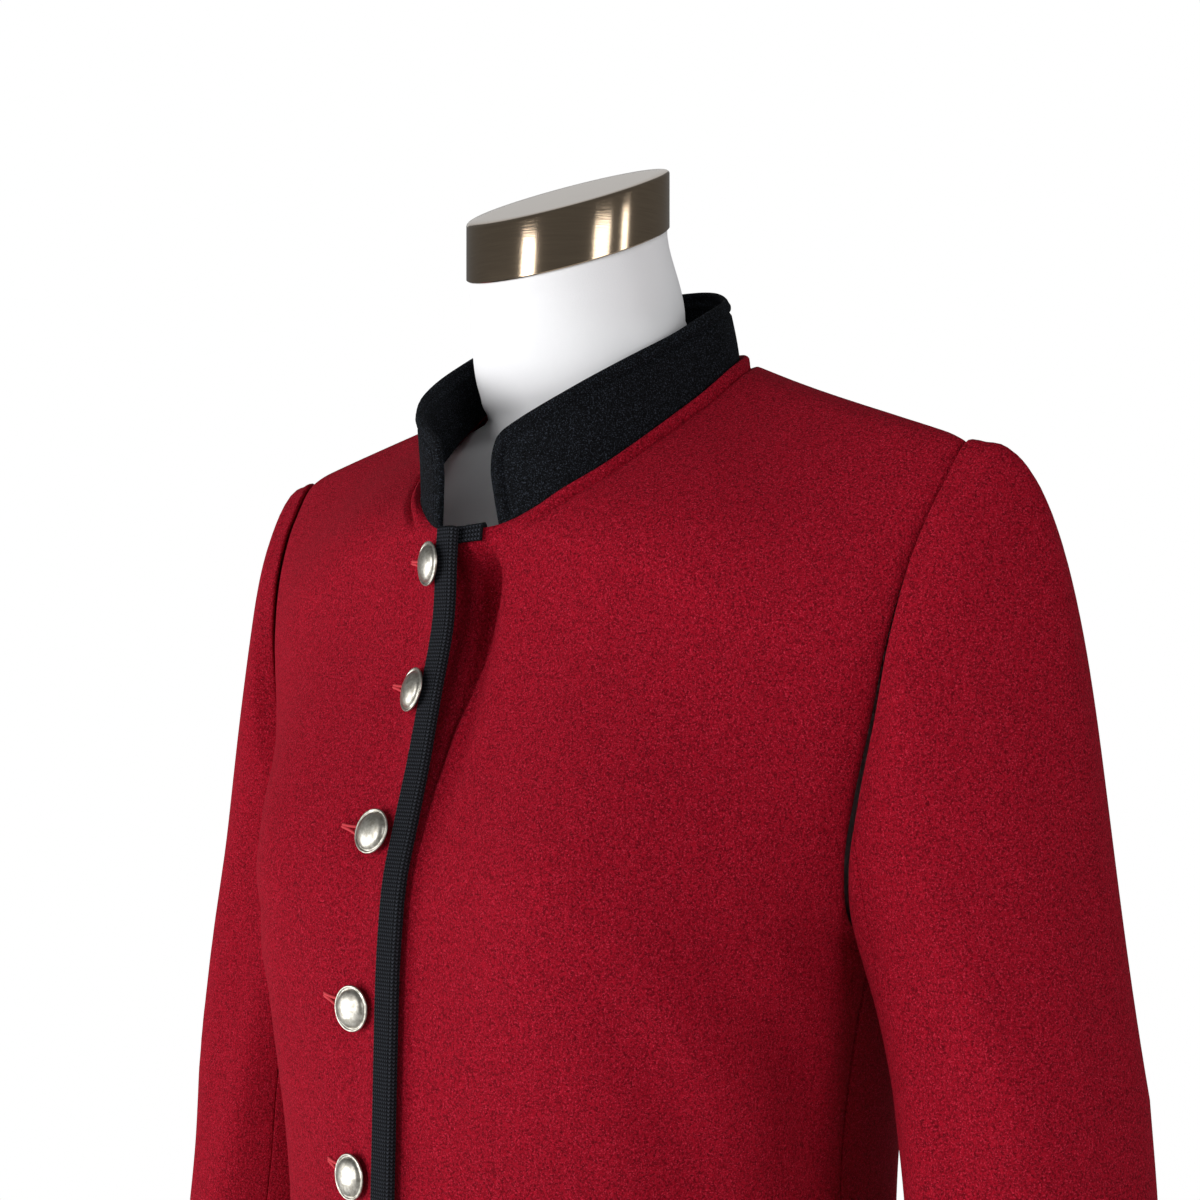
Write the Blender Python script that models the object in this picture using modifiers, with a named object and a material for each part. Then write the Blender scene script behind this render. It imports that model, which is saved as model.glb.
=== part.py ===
# Women's stand-collar jacket of boiled wool on a limbless dress form.
# All sizes below are millimetres. Levels are measured from the side neck point, which
# lies NECK_HEIGHT above the floor. The front faces -Y and the wearer's left is +X.
# The origin is the middle of the stand's base, on the floor.

import math

import bmesh
import bpy
import numpy as np
from mathutils import Matrix, Vector

MM = 0.001
NECK_HEIGHT = 1360.0

# Cloth
WALL = 2.0
COLLAR_WALL = 3.2
SEAM_GAP = 0.3
LAY_GAP = 0.3
BINDING_GAP = 0.6
NECK_BINDING_GAP = 1.2
UNDERARM_GAP = 0.9
SLEEVE_SEAM_DRAW = 0.27
SLEEVE_HEAD_DRAW = 0.6

# Closing: the right front ends at the middle (x = 0) and the left front runs on below it
LEFT_EDGE = -32.0
LAP_LIFT = 3.1
EDGE_LIFT = 1.7
NECK_LIFT = 1.9
BINDING_WIDTH = 9.0
BINDING_THICK = 1.2
NECK_BINDING_DEPTH = 5.5
CLOSING_RIDGE = 5.0
RIDGE_SPREAD = 16.0
# The left front sinks in beside the lapped edge
VALLEY_DEPTH = 8.5
VALLEY_SIDE = 11.0
VALLEY_SPREAD = 9.0

# Buttons on the right front: level, how far each is set back from its edge
BUTTONS = [(-92, 11.8), (-148, 12.6), (-209, 19.7), (-284, 22.5), (-356, 22.5), (-428, 22.5),
           (-500, 22.5), (-572, 22.5)]
BUTTON_RADIUS = 10.0
BUTTON_SIDES = 14

# Collar
COLLAR_HEIGHT = 39.0
COLLAR_HEIGHT_SIDE = 27.5
COLLAR_HEIGHT_BACK = 32.0
COLLAR_LEAN_LEFT = 4.0
COLLAR_LEAN_RIGHT = -1.0
COLLAR_LEAN_BACK = 9.0
COLLAR_END_LEFT = 17.0
COLLAR_END_RIGHT = -12.0
COLLAR_CORNER = 19.0
COLLAR_SEAM = 0.45
COLLAR_TILT = 0.75
COLLAR_END_STEPS = [0.0, 1.2, 4.0, 8.5, 14.0]
COLLAR_ROWS = [0.0, 0.06, 0.35, 0.65, 0.92, 1.0]

# Stand
POLE_RADIUS = 16.0
BASE_RADIUS = 175.0
BASE_THICK = 14.0
HUB_HEIGHT = 46.0
HUB_RADIUS = 27.0

# Fullness of the front over the bust of a general figure
BUST_SIDE = 86.0
BUST_LEVEL = -218.0
BUST_DEPTH = 19.0
BUST_SPREAD = 52.0
BUST_ABOVE = 70.0
BUST_BELOW = 95.0

# Centre of the cloth, hem to neck: level, y
CENTRE_FRONT = [(-600, -128), (-530, -125), (-460, -122), (-400, -119), (-345, -117), (-300, -115),
                (-255, -112), (-226, -108), (-205, -102), (-175, -92), (-147, -84), (-110, -76),
                (-78, -73)]
CENTRE_BACK = [(-600, 122), (-530, 116), (-460, 107), (-400, 101), (-345, 99), (-300, 101),
               (-250, 104), (-200, 106), (-150, 105), (-100, 100), (-50, 89), (-15, 77), (10, 70)]
# Side seam, hem to underarm: level, half width, y
SIDE_SEAM = [(-600, 176, 2), (-530, 165, 2), (-460, 152, 3), (-400, 145, 4), (-345, 144, 5),
             (-300, 150, 5), (-250, 161, 5)]
# Neckline from the centre front round to the centre back: x, y, level
NECKLINE = [(0, -73, -78), (19, -71.5, -75), (38, -62, -64), (52, -47, -52), (60, -31, -40),
            (65, -14, -28), (68.5, 4, -16), (69.5, 22, -4), (62, 40, 3), (48, 55, 7),
            (27, 66, 9), (0, 70, 10)]
NECK_SIDE = 7
# Armhole from the shoulder tip down the front, round the underarm and up the back
ARMHOLE = [(203, 12, -43), (200, -6, -64), (195, -19, -90), (189, -27, -124), (183, -29, -157),
           (176, -30, -190), (170, -28, -218), (164, -16, -241), (161, 5, -250),
           (166, 28, -240), (173, 45, -208), (180, 51, -170), (187, 50, -135), (194, 44, -100),
           (200, 31, -68)]
UNDERARM = 8
# Sleeve tube below the armhole: level, centre x, centre y, radius across, front to back
SLEEVE = [(-592, 246, -8, 38.5, 41), (-520, 241, 3, 43, 45), (-450, 234, 13, 47, 48),
          (-400, 229, 18, 49, 50), (-350, 225, 20, 50, 51), (-310, 219, 23, 51, 52)]
SLEEVE_SPREAD = -0.19
FRONT_SEAM_TURN = 129.6
BACK_SEAM_TURN = 252.0
# Sleeve head, by turn from the top over the front: the cloth's way out of the seam
# (x, y, up), how far it keeps it, and the share of the drop that hangs straight
SLEEVE_HEAD = [(0, 1.0, 0.13, 0.06, 50, 0.57), (45, 0.85, -0.34, -0.05, 18, 0.56), (90, 0.6, -0.6, -0.4, 24, 0.5),
               (135, 0.3, -0.4, -0.8, 16, 0.4), (180, 0.12, 0.0, -1.0, 8, 0.3), (225, 0.3, 0.4, -0.8, 18, 0.4),
               (270, 0.6, 0.65, -0.35, 34, 0.5), (315, 0.85, 0.62, 0.18, 43, 0.61), (360, 1.0, 0.13, 0.06, 50, 0.57)]
# Dress form: level, half width, y of the front, of the widest place and of the back, and
# the squareness of the section
FORM = [(-665, 140, -96, -2, 92, 2.2), (-655, 156, -110, -2, 105, 2.2), (-630, 165, -117, -2, 112, 2.2),
        (-600, 166, -118, -3, 111, 2.2), (-530, 152, -114, -5, 103, 2.2), (-460, 136, -109, -9, 91, 2.2),
        (-400, 127, -102, -9, 83, 2.2), (-345, 128, -99, -7, 84, 2.2), (-300, 136, -101, -6, 89, 2.2),
        (-255, 149, -103, -4, 94, 2.2), (-215, 155, -98, 0, 97, 2.2), (-180, 161, -85, 6, 97, 2.2),
        (-140, 169, -72, 11, 95, 2.2), (-105, 176, -59, 14, 87, 2.2), (-80, 180, -48, 13, 75, 2.1),
        (-64, 183, -40, 13, 66, 1.8), (-52, 185, -35, 13, 60, 1.4), (-40.5, 181, -30, 13, 54, 1.2),
        (-30, 130, -28, 16, 52, 1.1), (-22, 74, -32, 12, 54, 1.3), (-14, 59, -38, 5, 55, 1.8),
        (-5, 56, -43, 4, 56, 2.0), (8, 54, -47, 0, 54, 2.0), (22, 50, -50, -3, 48, 2.0)]
FORM_SIDES = 32
# Oblique metal neck cap
CAP_Y = -9.5
CAP_LEVEL = 53.0
CAP_TILT = 22.0
CAP_HEIGHT = 27.0
CAP_HALF_WIDTH = 48.4
CAP_HALF_DEPTH = 45.5

# Rows of a front or back, "way" 0 at the hem, 1 at the underarm, 2 at the shoulder.
# Columns: way, reach of the row's curve at the centre, reach at the side, turn of its
# side end from straight back in degrees, rise at the centre, rise at the side
FRONT_ROWS = [(0.0, 105, 76, 0, 0, 0), (0.5, 92, 68, 0, 0, 0), (1.0, 100, 74, 0, 0, 0),
              (1.15, 98, 66, 22, 0, 0), (1.35, 92, 62, 40, 0, 0), (1.55, 78, 56, 50, 0, 2),
              (1.7, 62, 52, 60, 0, 6), (1.85, 48, 46, 76, -5, 9), (2.0, 44, 44, 90, 0, 0)]
BACK_ROWS = [(0.0, 108, 88, 0, 0, 0), (0.5, 98, 84, 0, 0, 0), (1.0, 104, 76, 0, 0, 0),
             (1.2, 104, 58, 25, 0, 0), (1.45, 98, 50, 42, 0, 0), (1.7, 78, 46, 58, 4, 6),
             (1.88, 50, 44, 78, -8, 11), (2.0, 44, 44, 90, 0, 0)]
# The way at which the centre line meets the neckline
FRONT_TURN = 1.54
BACK_TURN = 1.82

# Where the grids have their rows and columns
LOW_WAYS = [0, 0.02, 0.12, 0.24, 0.36, 0.48, 0.6, 0.7, 0.8, 0.9, 1.0]
FRONT_WAYS = LOW_WAYS + [1.05, 1.11, 1.18, 1.25, 1.28, 1.31, 1.36, 1.42, 1.48, 1.52, FRONT_TURN, 1.6, 1.66, 1.72,
                         1.78, 1.84, 1.9, 1.95, 1.985, 2.0]
BACK_WAYS = LOW_WAYS + [1.05, 1.11, 1.18, 1.25, 1.32, 1.37, 1.4, 1.43, 1.49, 1.56, 1.65, 1.74, BACK_TURN,
                        1.85, 1.88, 1.91, 1.94, 1.97, 1.99, 2.0]
NEAR_COLUMNS = [0, 5, 10, 20, 32, 50]
FAR_COLUMNS = [0.2, 0.4, 0.58, 0.74, 0.88, 0.97, 1.0]
BACK_COLUMNS = [0, 0.1, 0.2, 0.3, 0.42, 0.54, 0.66, 0.78, 0.88, 0.97, 1.0]
SLEEVE_WAYS = [0, 0.04, 0.14, 0.26, 0.4, 0.55, 0.7, 0.85, 1.0, 1.17, 1.34, 1.5, 1.67, 1.84, 1.98, 2.0]


class Line:
    """Smooth line through a short list of points, read at t from 0 to 1."""

    def __init__(self, points, closed=False):
        points = np.array(points, float)
        if closed:
            points = np.vstack((points, points[:1]))
        lengths = np.linalg.norm(np.diff(points, axis=0), axis=1)
        self.points = points
        self.knots = np.concatenate(([0.0], np.cumsum(lengths))) / lengths.sum()
        self.slopes = np.gradient(points, self.knots, axis=0)
        if closed:
            before = (points[-1] - points[-2]) / (self.knots[-1] - self.knots[-2])
            after = (points[1] - points[0]) / self.knots[1]
            self.slopes[0] = self.slopes[-1] = (before + after) / 2

    def at(self, t):
        i = int(np.clip(np.searchsorted(self.knots, t) - 1, 0, len(self.knots) - 2))
        return cubic(self.knots[i:i + 2], self.points[i:i + 2], self.slopes[i:i + 2], t)


def cubic(knots, values, slopes, t):
    span = knots[1] - knots[0]
    u = (t - knots[0]) / span
    rise = u * u * (3 - 2 * u)
    leave = u * (1 - u) ** 2 * span
    arrive = u * u * (u - 1) * span
    return values[0] * (1 - rise) + values[1] * rise + slopes[0] * leave + slopes[1] * arrive


def row_of(table, key):
    """The columns of a table after its first, read smoothly at a value of the first."""
    table = np.array(table, float)
    keys, values = table[:, 0], table[:, 1:]
    i = int(np.clip(np.searchsorted(keys, key) - 1, 0, len(keys) - 2))
    slopes = np.gradient(values, keys, axis=0)
    return cubic(keys[i:i + 2], values[i:i + 2], slopes[i:i + 2], key)


def ease(value, low, high):
    """0 below low, 1 above high, smooth between."""
    u = min(max((value - low) / (high - low), 0.0), 1.0)
    return u * u * (3 - 2 * u)


NECK_LINE = Line(NECKLINE)
ARMHOLE_LINE = Line(ARMHOLE, closed=True)
NECK_SIDE_AT = NECK_LINE.knots[NECK_SIDE]
UNDERARM_AT = ARMHOLE_LINE.knots[UNDERARM]


def fullness(x, level):
    """How far the bust and the lapped closing push the front forward."""
    spread = BUST_ABOVE if level > BUST_LEVEL else BUST_BELOW
    up = math.exp(-((level - BUST_LEVEL) / spread) ** 2)
    left = math.exp(-((x - BUST_SIDE) / BUST_SPREAD) ** 2)
    right = math.exp(-((x + BUST_SIDE) / BUST_SPREAD) ** 2)
    ridge = CLOSING_RIDGE * math.exp(-(x / RIDGE_SPREAD) ** 2) * ease(level, -215, -140)
    return BUST_DEPTH * up * (left + right) + ridge


def lap_lift(x, level):
    """How far the right front stands forward where it lies over the left."""
    lap = LAP_LIFT * ease(x, LEFT_EDGE - 40, LEFT_EDGE - 4)
    edge = EDGE_LIFT * ease(x, -BINDING_WIDTH - 14, -BINDING_WIDTH)
    neck = NECK_LIFT * ease(x, LEFT_EDGE - 30, LEFT_EDGE - 2) * ease(level, -125, -88)
    return lap + edge + neck


def valley(x, level):
    """How far the left front sinks in beside the lapped edge, below the neckline."""
    fade = ease(level, -250, -115) * (1.0 - ease(level, -100, -84))
    return VALLEY_DEPTH * fade * math.exp(-((x - VALLEY_SIDE) / VALLEY_SPREAD) ** 2)


def inner_point(way, front):
    """The centre line up to the neckline, then the neckline up to the shoulder."""
    profile = CENTRE_FRONT if front else CENTRE_BACK
    turn = FRONT_TURN if front else BACK_TURN
    bottom, underarm, top = SIDE_SEAM[0][0], SIDE_SEAM[-1][0], profile[-1][0]
    if way > turn:
        start = 0.0 if front else 1.0
        return NECK_LINE.at(start + (NECK_SIDE_AT - start) * (way - turn) / (2.0 - turn))
    if way > 1.0:
        level = underarm + (top - underarm) * (way - 1.0) / (turn - 1.0)
    else:
        level = bottom + (underarm - bottom) * way
    return np.array([0.0, row_of(profile, level)[0], level])


def outer_point(way, front):
    """The side seam up to the underarm, then the armhole up to the shoulder."""
    if way <= 1.0:
        level = SIDE_SEAM[0][0] + (SIDE_SEAM[-1][0] - SIDE_SEAM[0][0]) * way
        half, y = row_of(SIDE_SEAM, level)
        return np.array([half, y, level])
    end = 0.0 if front else 1.0
    return ARMHOLE_LINE.at(UNDERARM_AT + (end - UNDERARM_AT) * (way - 1.0))


def body_point(way, across, front):
    """A point of the cloth's outer face on the wearer's left. across runs from 0 at the
    centre to 1 at the side, and below 0 it is past the centre."""
    inner, outer = inner_point(way, front), outer_point(way, front)
    reach_in, reach_out, turned, rise_in, rise_out = row_of(FRONT_ROWS if front else BACK_ROWS, way)
    angle = math.radians(turned)
    leave = inner + np.array([reach_in, 0.0, rise_in])
    back = -math.cos(angle) if front else math.cos(angle)
    arrive = outer + np.array([-reach_out * math.sin(angle), reach_out * back, rise_out])
    slope = (outer - inner) / (outer[0] - inner[0]) * ease(way, 1.8, 2.0)
    leave[1:] += slope[1:] * reach_in
    arrive[1:] -= slope[1:] * reach_out
    u = abs(across)
    weights = ((1 - u) ** 3, 3 * u * (1 - u) ** 2, 3 * u * u * (1 - u), u ** 3)
    point = sum(w * p for w, p in zip(weights, (inner, leave, arrive, outer)))
    if front:
        point[1] -= fullness(point[0], point[2]) * (1.0 - ease(way, 1.75, 2.0))
    if across < 0:
        point[0] = -point[0]
    return point


def front_point(way, across, right):
    """A point of a front's outer face, on its own side of the body."""
    point = body_point(way, across, True)
    if right:
        point[0] = -point[0]
        point[1] -= lap_lift(point[0], point[2])
    else:
        point[1] += valley(point[0], point[2])
    return point


def across_at(way, x):
    """The share of a front's row at which it is x away from the centre."""
    low, high = 0.0, 1.0
    for _ in range(22):
        middle = (low + high) / 2
        if body_point(way, middle, True)[0] < abs(x):
            low = middle
        else:
            high = middle
    return math.copysign(low, x) if x else 0.0


def front_normal(way, across, right):
    """Outward direction of a front's outer face."""
    small = 0.01
    up = front_point(min(way + small, 2.0), across, right) - front_point(max(way - small, 0.0), across, right)
    along = front_point(way, across + small, right) - front_point(way, across - small, right)
    normal = np.cross(along, up)
    if right:
        normal = -normal
    return normal / np.linalg.norm(normal)


def columns_at(way):
    """Shares of a front's row, close together near the closing."""
    near = [across_at(min(way, FRONT_TURN), x) for x in NEAR_COLUMNS]
    return near + [near[-1] + (1 - near[-1]) * share for share in FAR_COLUMNS]


def front_grid(right):
    """Outer points of a front by (row, column); columns below 0 are past the centre."""
    past = [] if right else [LEFT_EDGE, LEFT_EDGE * 0.66, LEFT_EDGE * 0.33]
    grid = {}
    for i, way in enumerate(FRONT_WAYS):
        for j, across in enumerate(columns_at(way)):
            grid[i, j] = front_point(way, across, right)
        if way <= FRONT_TURN:
            for j, x in enumerate(past):
                grid[i, j - len(past)] = front_point(way, across_at(way, x), right)
    return grid


def back_grid():
    """Outer points of the back's left half by (row, column)."""
    return {(i, j): body_point(way, across, False)
            for i, way in enumerate(BACK_WAYS) for j, across in enumerate(BACK_COLUMNS)}


def draw_in(grid, keys, toward, amount):
    """Move edge points towards their neighbours inside the piece."""
    moved = {}
    for key in keys:
        point, other = grid[key], grid[key[0] + toward[0], key[1] + toward[1]]
        moved[key] = point + (other - point) / np.linalg.norm(other - point) * amount
    grid.update(moved)


def seam_edges(grid, side_column, top_row, underarm_row):
    """Open the side seam and the shoulder seam by half a gap each."""
    side = [(i, side_column) for i in range(underarm_row + 1)]
    draw_in(grid, side, (0, -1), SEAM_GAP / 2)
    for j in range(side_column + 1):
        point, below = grid[top_row, j], grid[top_row - 1, j]
        tilt = max(point[2] - below[2], 0.0) / np.linalg.norm(point - below)
        draw_in(grid, [(top_row, j)], (-1, 0), SEAM_GAP / 2 + WALL * tilt)


def sleeve_start(turn):
    """Armhole point at a turn of the sleeve: 0 is its top, 90 its front, 180 its underarm."""
    if turn <= 180.0:
        return ARMHOLE_LINE.at(UNDERARM_AT * turn / 180.0)
    return ARMHOLE_LINE.at(UNDERARM_AT + (1.0 - UNDERARM_AT) * (turn / 180.0 - 1.0))


def sleeve_point(way, turn):
    """Outer face of the left sleeve. way is 0 at the armhole, 1 below it, 2 at the cuff."""
    angle = math.radians(turn)
    level = SLEEVE[-1][0] + (SLEEVE[0][0] - SLEEVE[-1][0]) * max(way - 1.0, 0.0)
    x, y, across, depth = row_of(SLEEVE, level)
    tube = np.array([x + across * math.cos(angle), y - depth * math.sin(angle), level])
    if way >= 1.0:
        return tube
    out_x, out_y, out_up, reach, hang = row_of(SLEEVE_HEAD, turn % 360.0)
    out = np.array([out_x, out_y, out_up])
    out = out / np.linalg.norm(out)
    start = sleeve_start(turn) + out * (SEAM_GAP + 0.1)
    start[0] += UNDERARM_GAP * math.sin(angle / 2) ** 4
    drop = start[2] - tube[2]
    leave = start + out * reach
    arrive = tube + np.array([SLEEVE_SPREAD, 0.0, 1.0]) * drop * hang
    weights = ((1 - way) ** 3, 3 * way * (1 - way) ** 2, 3 * way * way * (1 - way), way ** 3)
    return sum(w * p for w, p in zip(weights, (start, leave, arrive, tube)))


def sleeve_turns():
    """Turns at which the sleeve's columns meet the rows of the front and of the back."""
    front = [round(180.0 * (2.0 - way), 3) for way in reversed(FRONT_WAYS) if way >= 1.0]
    back = [round(180.0 * way, 3) for way in BACK_WAYS if way > 1.0]
    return front + back[:-1]


def neckline_edge():
    """The body's neckline from the right front's corner round the back to the left's."""
    right = [front_point(way, 0.0, True) for way in FRONT_WAYS if way >= FRONT_TURN]
    back = [body_point(way, 0.0, False) for way in BACK_WAYS if way >= BACK_TURN]
    left = [front_point(way, 0.0, False) for way in FRONT_WAYS if way >= FRONT_TURN]
    mirrored = [point * np.array([-1.0, 1.0, 1.0]) for point in back]
    return right[:-1] + mirrored[::-1] + back[1:] + left[-2::-1]


def collar_base():
    """Seam points of the collar: the neckline's corners between its ends, and more points
    near each end for its rounded corner."""
    path = neckline_edge()
    reach = np.concatenate(([0.0], np.cumsum([np.linalg.norm(b - a) for a, b in zip(path, path[1:])])))
    across = np.array([point[0] for point in path])
    start = float(np.interp(-COLLAR_END_RIGHT, -across[:6], reach[:6]))
    end = float(np.interp(-COLLAR_END_LEFT, -across[-6:], reach[-6:]))
    places = [start + d for d in COLLAR_END_STEPS] + [end - d for d in COLLAR_END_STEPS]
    for corner in reach:
        if start < corner < end and min(abs(corner - place) for place in places) > 0.8:
            places.append(float(corner))
    places.sort()
    points = [np.array([np.interp(place, reach, [p[k] for p in path]) for k in range(3)]) for place in places]
    return points, [min(place - start, end - place) for place in places]


def collar_grid():
    """Outer points of the collar by (row up, column from right end to left end)."""
    base, from_end = collar_base()
    grid = {}
    for j, (point, end) in enumerate(zip(base, from_end)):
        along = base[min(j + 1, len(base) - 1)] - base[max(j - 1, 0)]
        out = np.cross(np.array([0.0, 0.0, 1.0]), along)
        out /= np.linalg.norm(out)
        up = np.cross(along / np.linalg.norm(along), out)
        up = up * COLLAR_TILT + np.array([0.0, 0.0, 1.0 - COLLAR_TILT])
        lean_front = COLLAR_LEAN_LEFT if point[0] > 0 else COLLAR_LEAN_RIGHT
        lean = lean_front + (COLLAR_LEAN_BACK - lean_front) * ease(point[1], -60.0, 60.0)
        height = COLLAR_HEIGHT + (COLLAR_HEIGHT_SIDE - COLLAR_HEIGHT) * ease(point[1], -62.0, 36.0)
        height += (COLLAR_HEIGHT_BACK - COLLAR_HEIGHT_SIDE) * ease(point[1], 45.0, 70.0)
        if end < COLLAR_CORNER:
            height -= COLLAR_CORNER - math.sqrt(COLLAR_CORNER ** 2 - (COLLAR_CORNER - end) ** 2)
        for i, share in enumerate(COLLAR_ROWS):
            rise = COLLAR_SEAM + share * (height - COLLAR_SEAM)
            inward = lean * (rise / COLLAR_HEIGHT) ** 1.3 + SEAM_GAP / 2
            grid[i, j] = point + up * rise - out * inward
    return grid


def to_world(point):
    return Vector((point[0] * MM, point[1] * MM, (point[2] + NECK_HEIGHT) * MM))


def principled(name, colour, roughness, metallic=0.0):
    material = bpy.data.materials.new(name)
    material.use_nodes = True
    shader = material.node_tree.nodes["Principled BSDF"]
    shader.inputs["Base Color"].default_value = (*colour, 1.0)
    shader.inputs["Roughness"].default_value = roughness
    shader.inputs["Metallic"].default_value = metallic
    return material


def new_object(name, mesh, material, smooth=True):
    part = bpy.data.objects.new(name, mesh)
    parts.objects.link(part)
    mesh.materials.append(material)
    if smooth:
        mesh.shade_smooth()
        mesh.set_sharp_from_angle(angle=math.radians(40))
    return part


def sheet_mesh(name, grid, flip):
    """Open surface through the points of a grid, one quad for each full cell."""
    shape = bmesh.new()
    verts = {key: shape.verts.new(to_world(grid[key])) for key in sorted(grid)}
    for i, j in sorted(grid):
        corners = [(i, j), (i, j + 1), (i + 1, j + 1), (i + 1, j)]
        if all(corner in verts for corner in corners):
            loop = [verts[corner] for corner in corners]
            shape.faces.new(loop[::-1] if flip else loop)
    mesh = bpy.data.meshes.new(name)
    shape.to_mesh(mesh)
    shape.free()
    return mesh


def cloth(name, grid, material, wall=WALL, flip=False, mirror=False):
    """A piece of cloth: its outer face from a grid, given its thickness inwards."""
    part = new_object(name, sheet_mesh(name, grid, flip), material)
    if mirror:
        both = part.modifiers.new("both halves", "MIRROR")
        both.use_clip = True
        both.merge_threshold = 0.0001
    thick = part.modifiers.new("wall", "SOLIDIFY")
    thick.thickness = wall * MM
    thick.offset = -1.0
    return part


def folded_strip(name, outer, inner, material):
    """A strip of braid from the points of its outer and inner faces, row by row."""
    shape = bmesh.new()
    rings = []
    for out_row, in_row in zip(outer, inner):
        rings.append([shape.verts.new(to_world(p)) for p in list(out_row) + list(in_row)[::-1]])
    size = len(rings[0])
    for low, high in zip(rings, rings[1:]):
        for k in range(size):
            n = (k + 1) % size
            shape.faces.new((low[k], low[n], high[n], high[k]))
    for ring, turned in ((rings[0], True), (rings[-1], False)):
        for k in range(size // 2 - 1):
            loop = (ring[k], ring[k + 1], ring[size - 2 - k], ring[size - 1 - k])
            shape.faces.new(loop[::-1] if turned else loop)
    bmesh.ops.recalc_face_normals(shape, faces=shape.faces[:])
    mesh = bpy.data.meshes.new(name)
    shape.to_mesh(mesh)
    shape.free()
    return new_object(name, mesh, material)


def fold_stations(edge, points, normals, beyond, near=BINDING_GAP):
    """Outer and inner points of braid folded over an edge. points run to the edge."""
    far = near + BINDING_THICK
    outer = [p + n * far for p, n in zip(points, normals)]
    inner = [p + n * near for p, n in zip(points, normals)]
    last = normals[-1]
    for turn in (45.0, 135.0):
        away = math.sin(math.radians(turn)) * beyond + math.cos(math.radians(turn)) * last
        middle = edge - last * (0.0 if turn < 90.0 else WALL)
        outer.append(middle + away * far)
        inner.append(middle + away * near * 1.2)
    for p, n in zip(points[::-1], normals[::-1]):
        outer.append(p - n * (WALL + far))
        inner.append(p - n * (WALL + near))
    return outer, inner


def build_front_binding(material):
    """Knitted braid folded over the right front's edge, hem to neck."""
    xs = [-BINDING_WIDTH, -BINDING_WIDTH / 2, 0.0]
    outer, inner = [], []
    for way in [w for w in FRONT_WAYS if w <= FRONT_TURN]:
        shares = [across_at(way, -x) for x in xs]
        points = [front_point(way, share, True) for share in shares]
        normals = [front_normal(way, share, True) for share in shares]
        beyond = points[-1] - points[-2]
        beyond /= np.linalg.norm(beyond)
        out_row, in_row = fold_stations(points[-1], points, normals, beyond)
        outer.append(out_row)
        inner.append(in_row)
    return folded_strip("binding_front", outer, inner, material)


def build_neck_binding(material):
    """Braid folded over the left front's neckline, from the collar's end to the underlap's edge."""
    edge = neckline_edge()[-1:-4:-1]
    xs = [LEFT_EDGE + 1, LEFT_EDGE * 0.66, LEFT_EDGE * 0.33, 0.0, 5.0, 10.0, COLLAR_END_LEFT - 0.6]
    tops, folds, normals = [], [], []
    for x in xs:
        top = front_point(FRONT_TURN, across_at(FRONT_TURN, x), False)
        if x > 0:
            top = np.array([np.interp(x, [p[0] for p in edge], [p[k] for p in edge]) for k in range(3)])
        way = way_at(top[2] - NECK_BINDING_DEPTH)
        tops.append(top)
        folds.append(front_point(way, across_at(way, x), False))
        normals.append(front_normal(way, across_at(way, x), False))
    outer, inner = [], []
    for top, fold, normal in zip(tops, folds, normals):
        up = (top - fold) / np.linalg.norm(top - fold)
        out_row, in_row = fold_stations(top, [fold, top], [normal, normal], up, NECK_BINDING_GAP)
        outer.append(out_row)
        inner.append(in_row)
    return folded_strip("binding_neck", outer, inner, material)


def build_button(number, level, set_back, mesh):
    """A domed metal button standing on the right front."""
    way = way_at(level)
    edge = front_point(way, 0.0, True)
    low, high = 0.0, 60.0
    for _ in range(20):
        middle = (low + high) / 2
        gone = np.linalg.norm(front_point(way, across_at(way, middle), True) - edge)
        low, high = (middle, high) if gone < set_back else (low, middle)
    share = across_at(way, low)
    place, normal = front_point(way, share, True), front_normal(way, share, True)
    part = bpy.data.objects.new("button_%d" % number, mesh)
    parts.objects.link(part)
    turn = Vector((0, 0, 1)).rotation_difference(Vector(normal)).to_matrix().to_4x4()
    part.matrix_world = Matrix.Translation(to_world(place + normal * LAY_GAP)) @ turn


def way_at(level):
    """The front's row whose centre lies at a level."""
    underarm = SIDE_SEAM[-1][0]
    if level <= underarm:
        return (level - SIDE_SEAM[0][0]) / (underarm - SIDE_SEAM[0][0])
    return 1.0 + (level - underarm) / (CENTRE_FRONT[-1][0] - underarm) * (FRONT_TURN - 1.0)


def turned(name, profile, sides, material):
    """A solid turned about the vertical axis from a profile of (radius, height), top to
    bottom, whose first and last points lie on the axis."""
    shape = bmesh.new()
    verts = [shape.verts.new((r * MM, 0.0, z * MM)) for r, z in profile]
    for a, b in zip(verts, verts[1:]):
        shape.edges.new((a, b))
    mesh = bpy.data.meshes.new(name)
    shape.to_mesh(mesh)
    shape.free()
    part = new_object(name, mesh, material)
    screw = part.modifiers.new("turn", "SCREW")
    screw.steps = screw.render_steps = sides
    screw.use_merge_vertices = True
    screw.merge_threshold = 0.00001
    screw.use_smooth_shade = True
    return part


def applied_mesh(part):
    """The part's evaluated mesh, for copies; the part itself is removed."""
    graph = bpy.context.evaluated_depsgraph_get()
    mesh = bpy.data.meshes.new_from_object(part.evaluated_get(graph))
    bpy.data.objects.remove(part)
    return mesh


def build_buttons(material):
    dome = [(BUTTON_RADIUS * 0.9 * math.sin(math.radians(a)), 3.6 + 3.4 * math.cos(math.radians(a)))
            for a in (0, 30, 60, 90)]
    profile = dome + [(BUTTON_RADIUS - 0.5, 4.1), (BUTTON_RADIUS, 3.4), (BUTTON_RADIUS - 0.6, 2.7),
                      (2.4, 2.3), (2.0, 0.0), (0.0, 0.0)]
    mesh = applied_mesh(turned("button", profile, BUTTON_SIDES, material))
    for number, (level, set_back) in enumerate(BUTTONS, 1):
        build_button(number, level, set_back, mesh)


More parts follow.
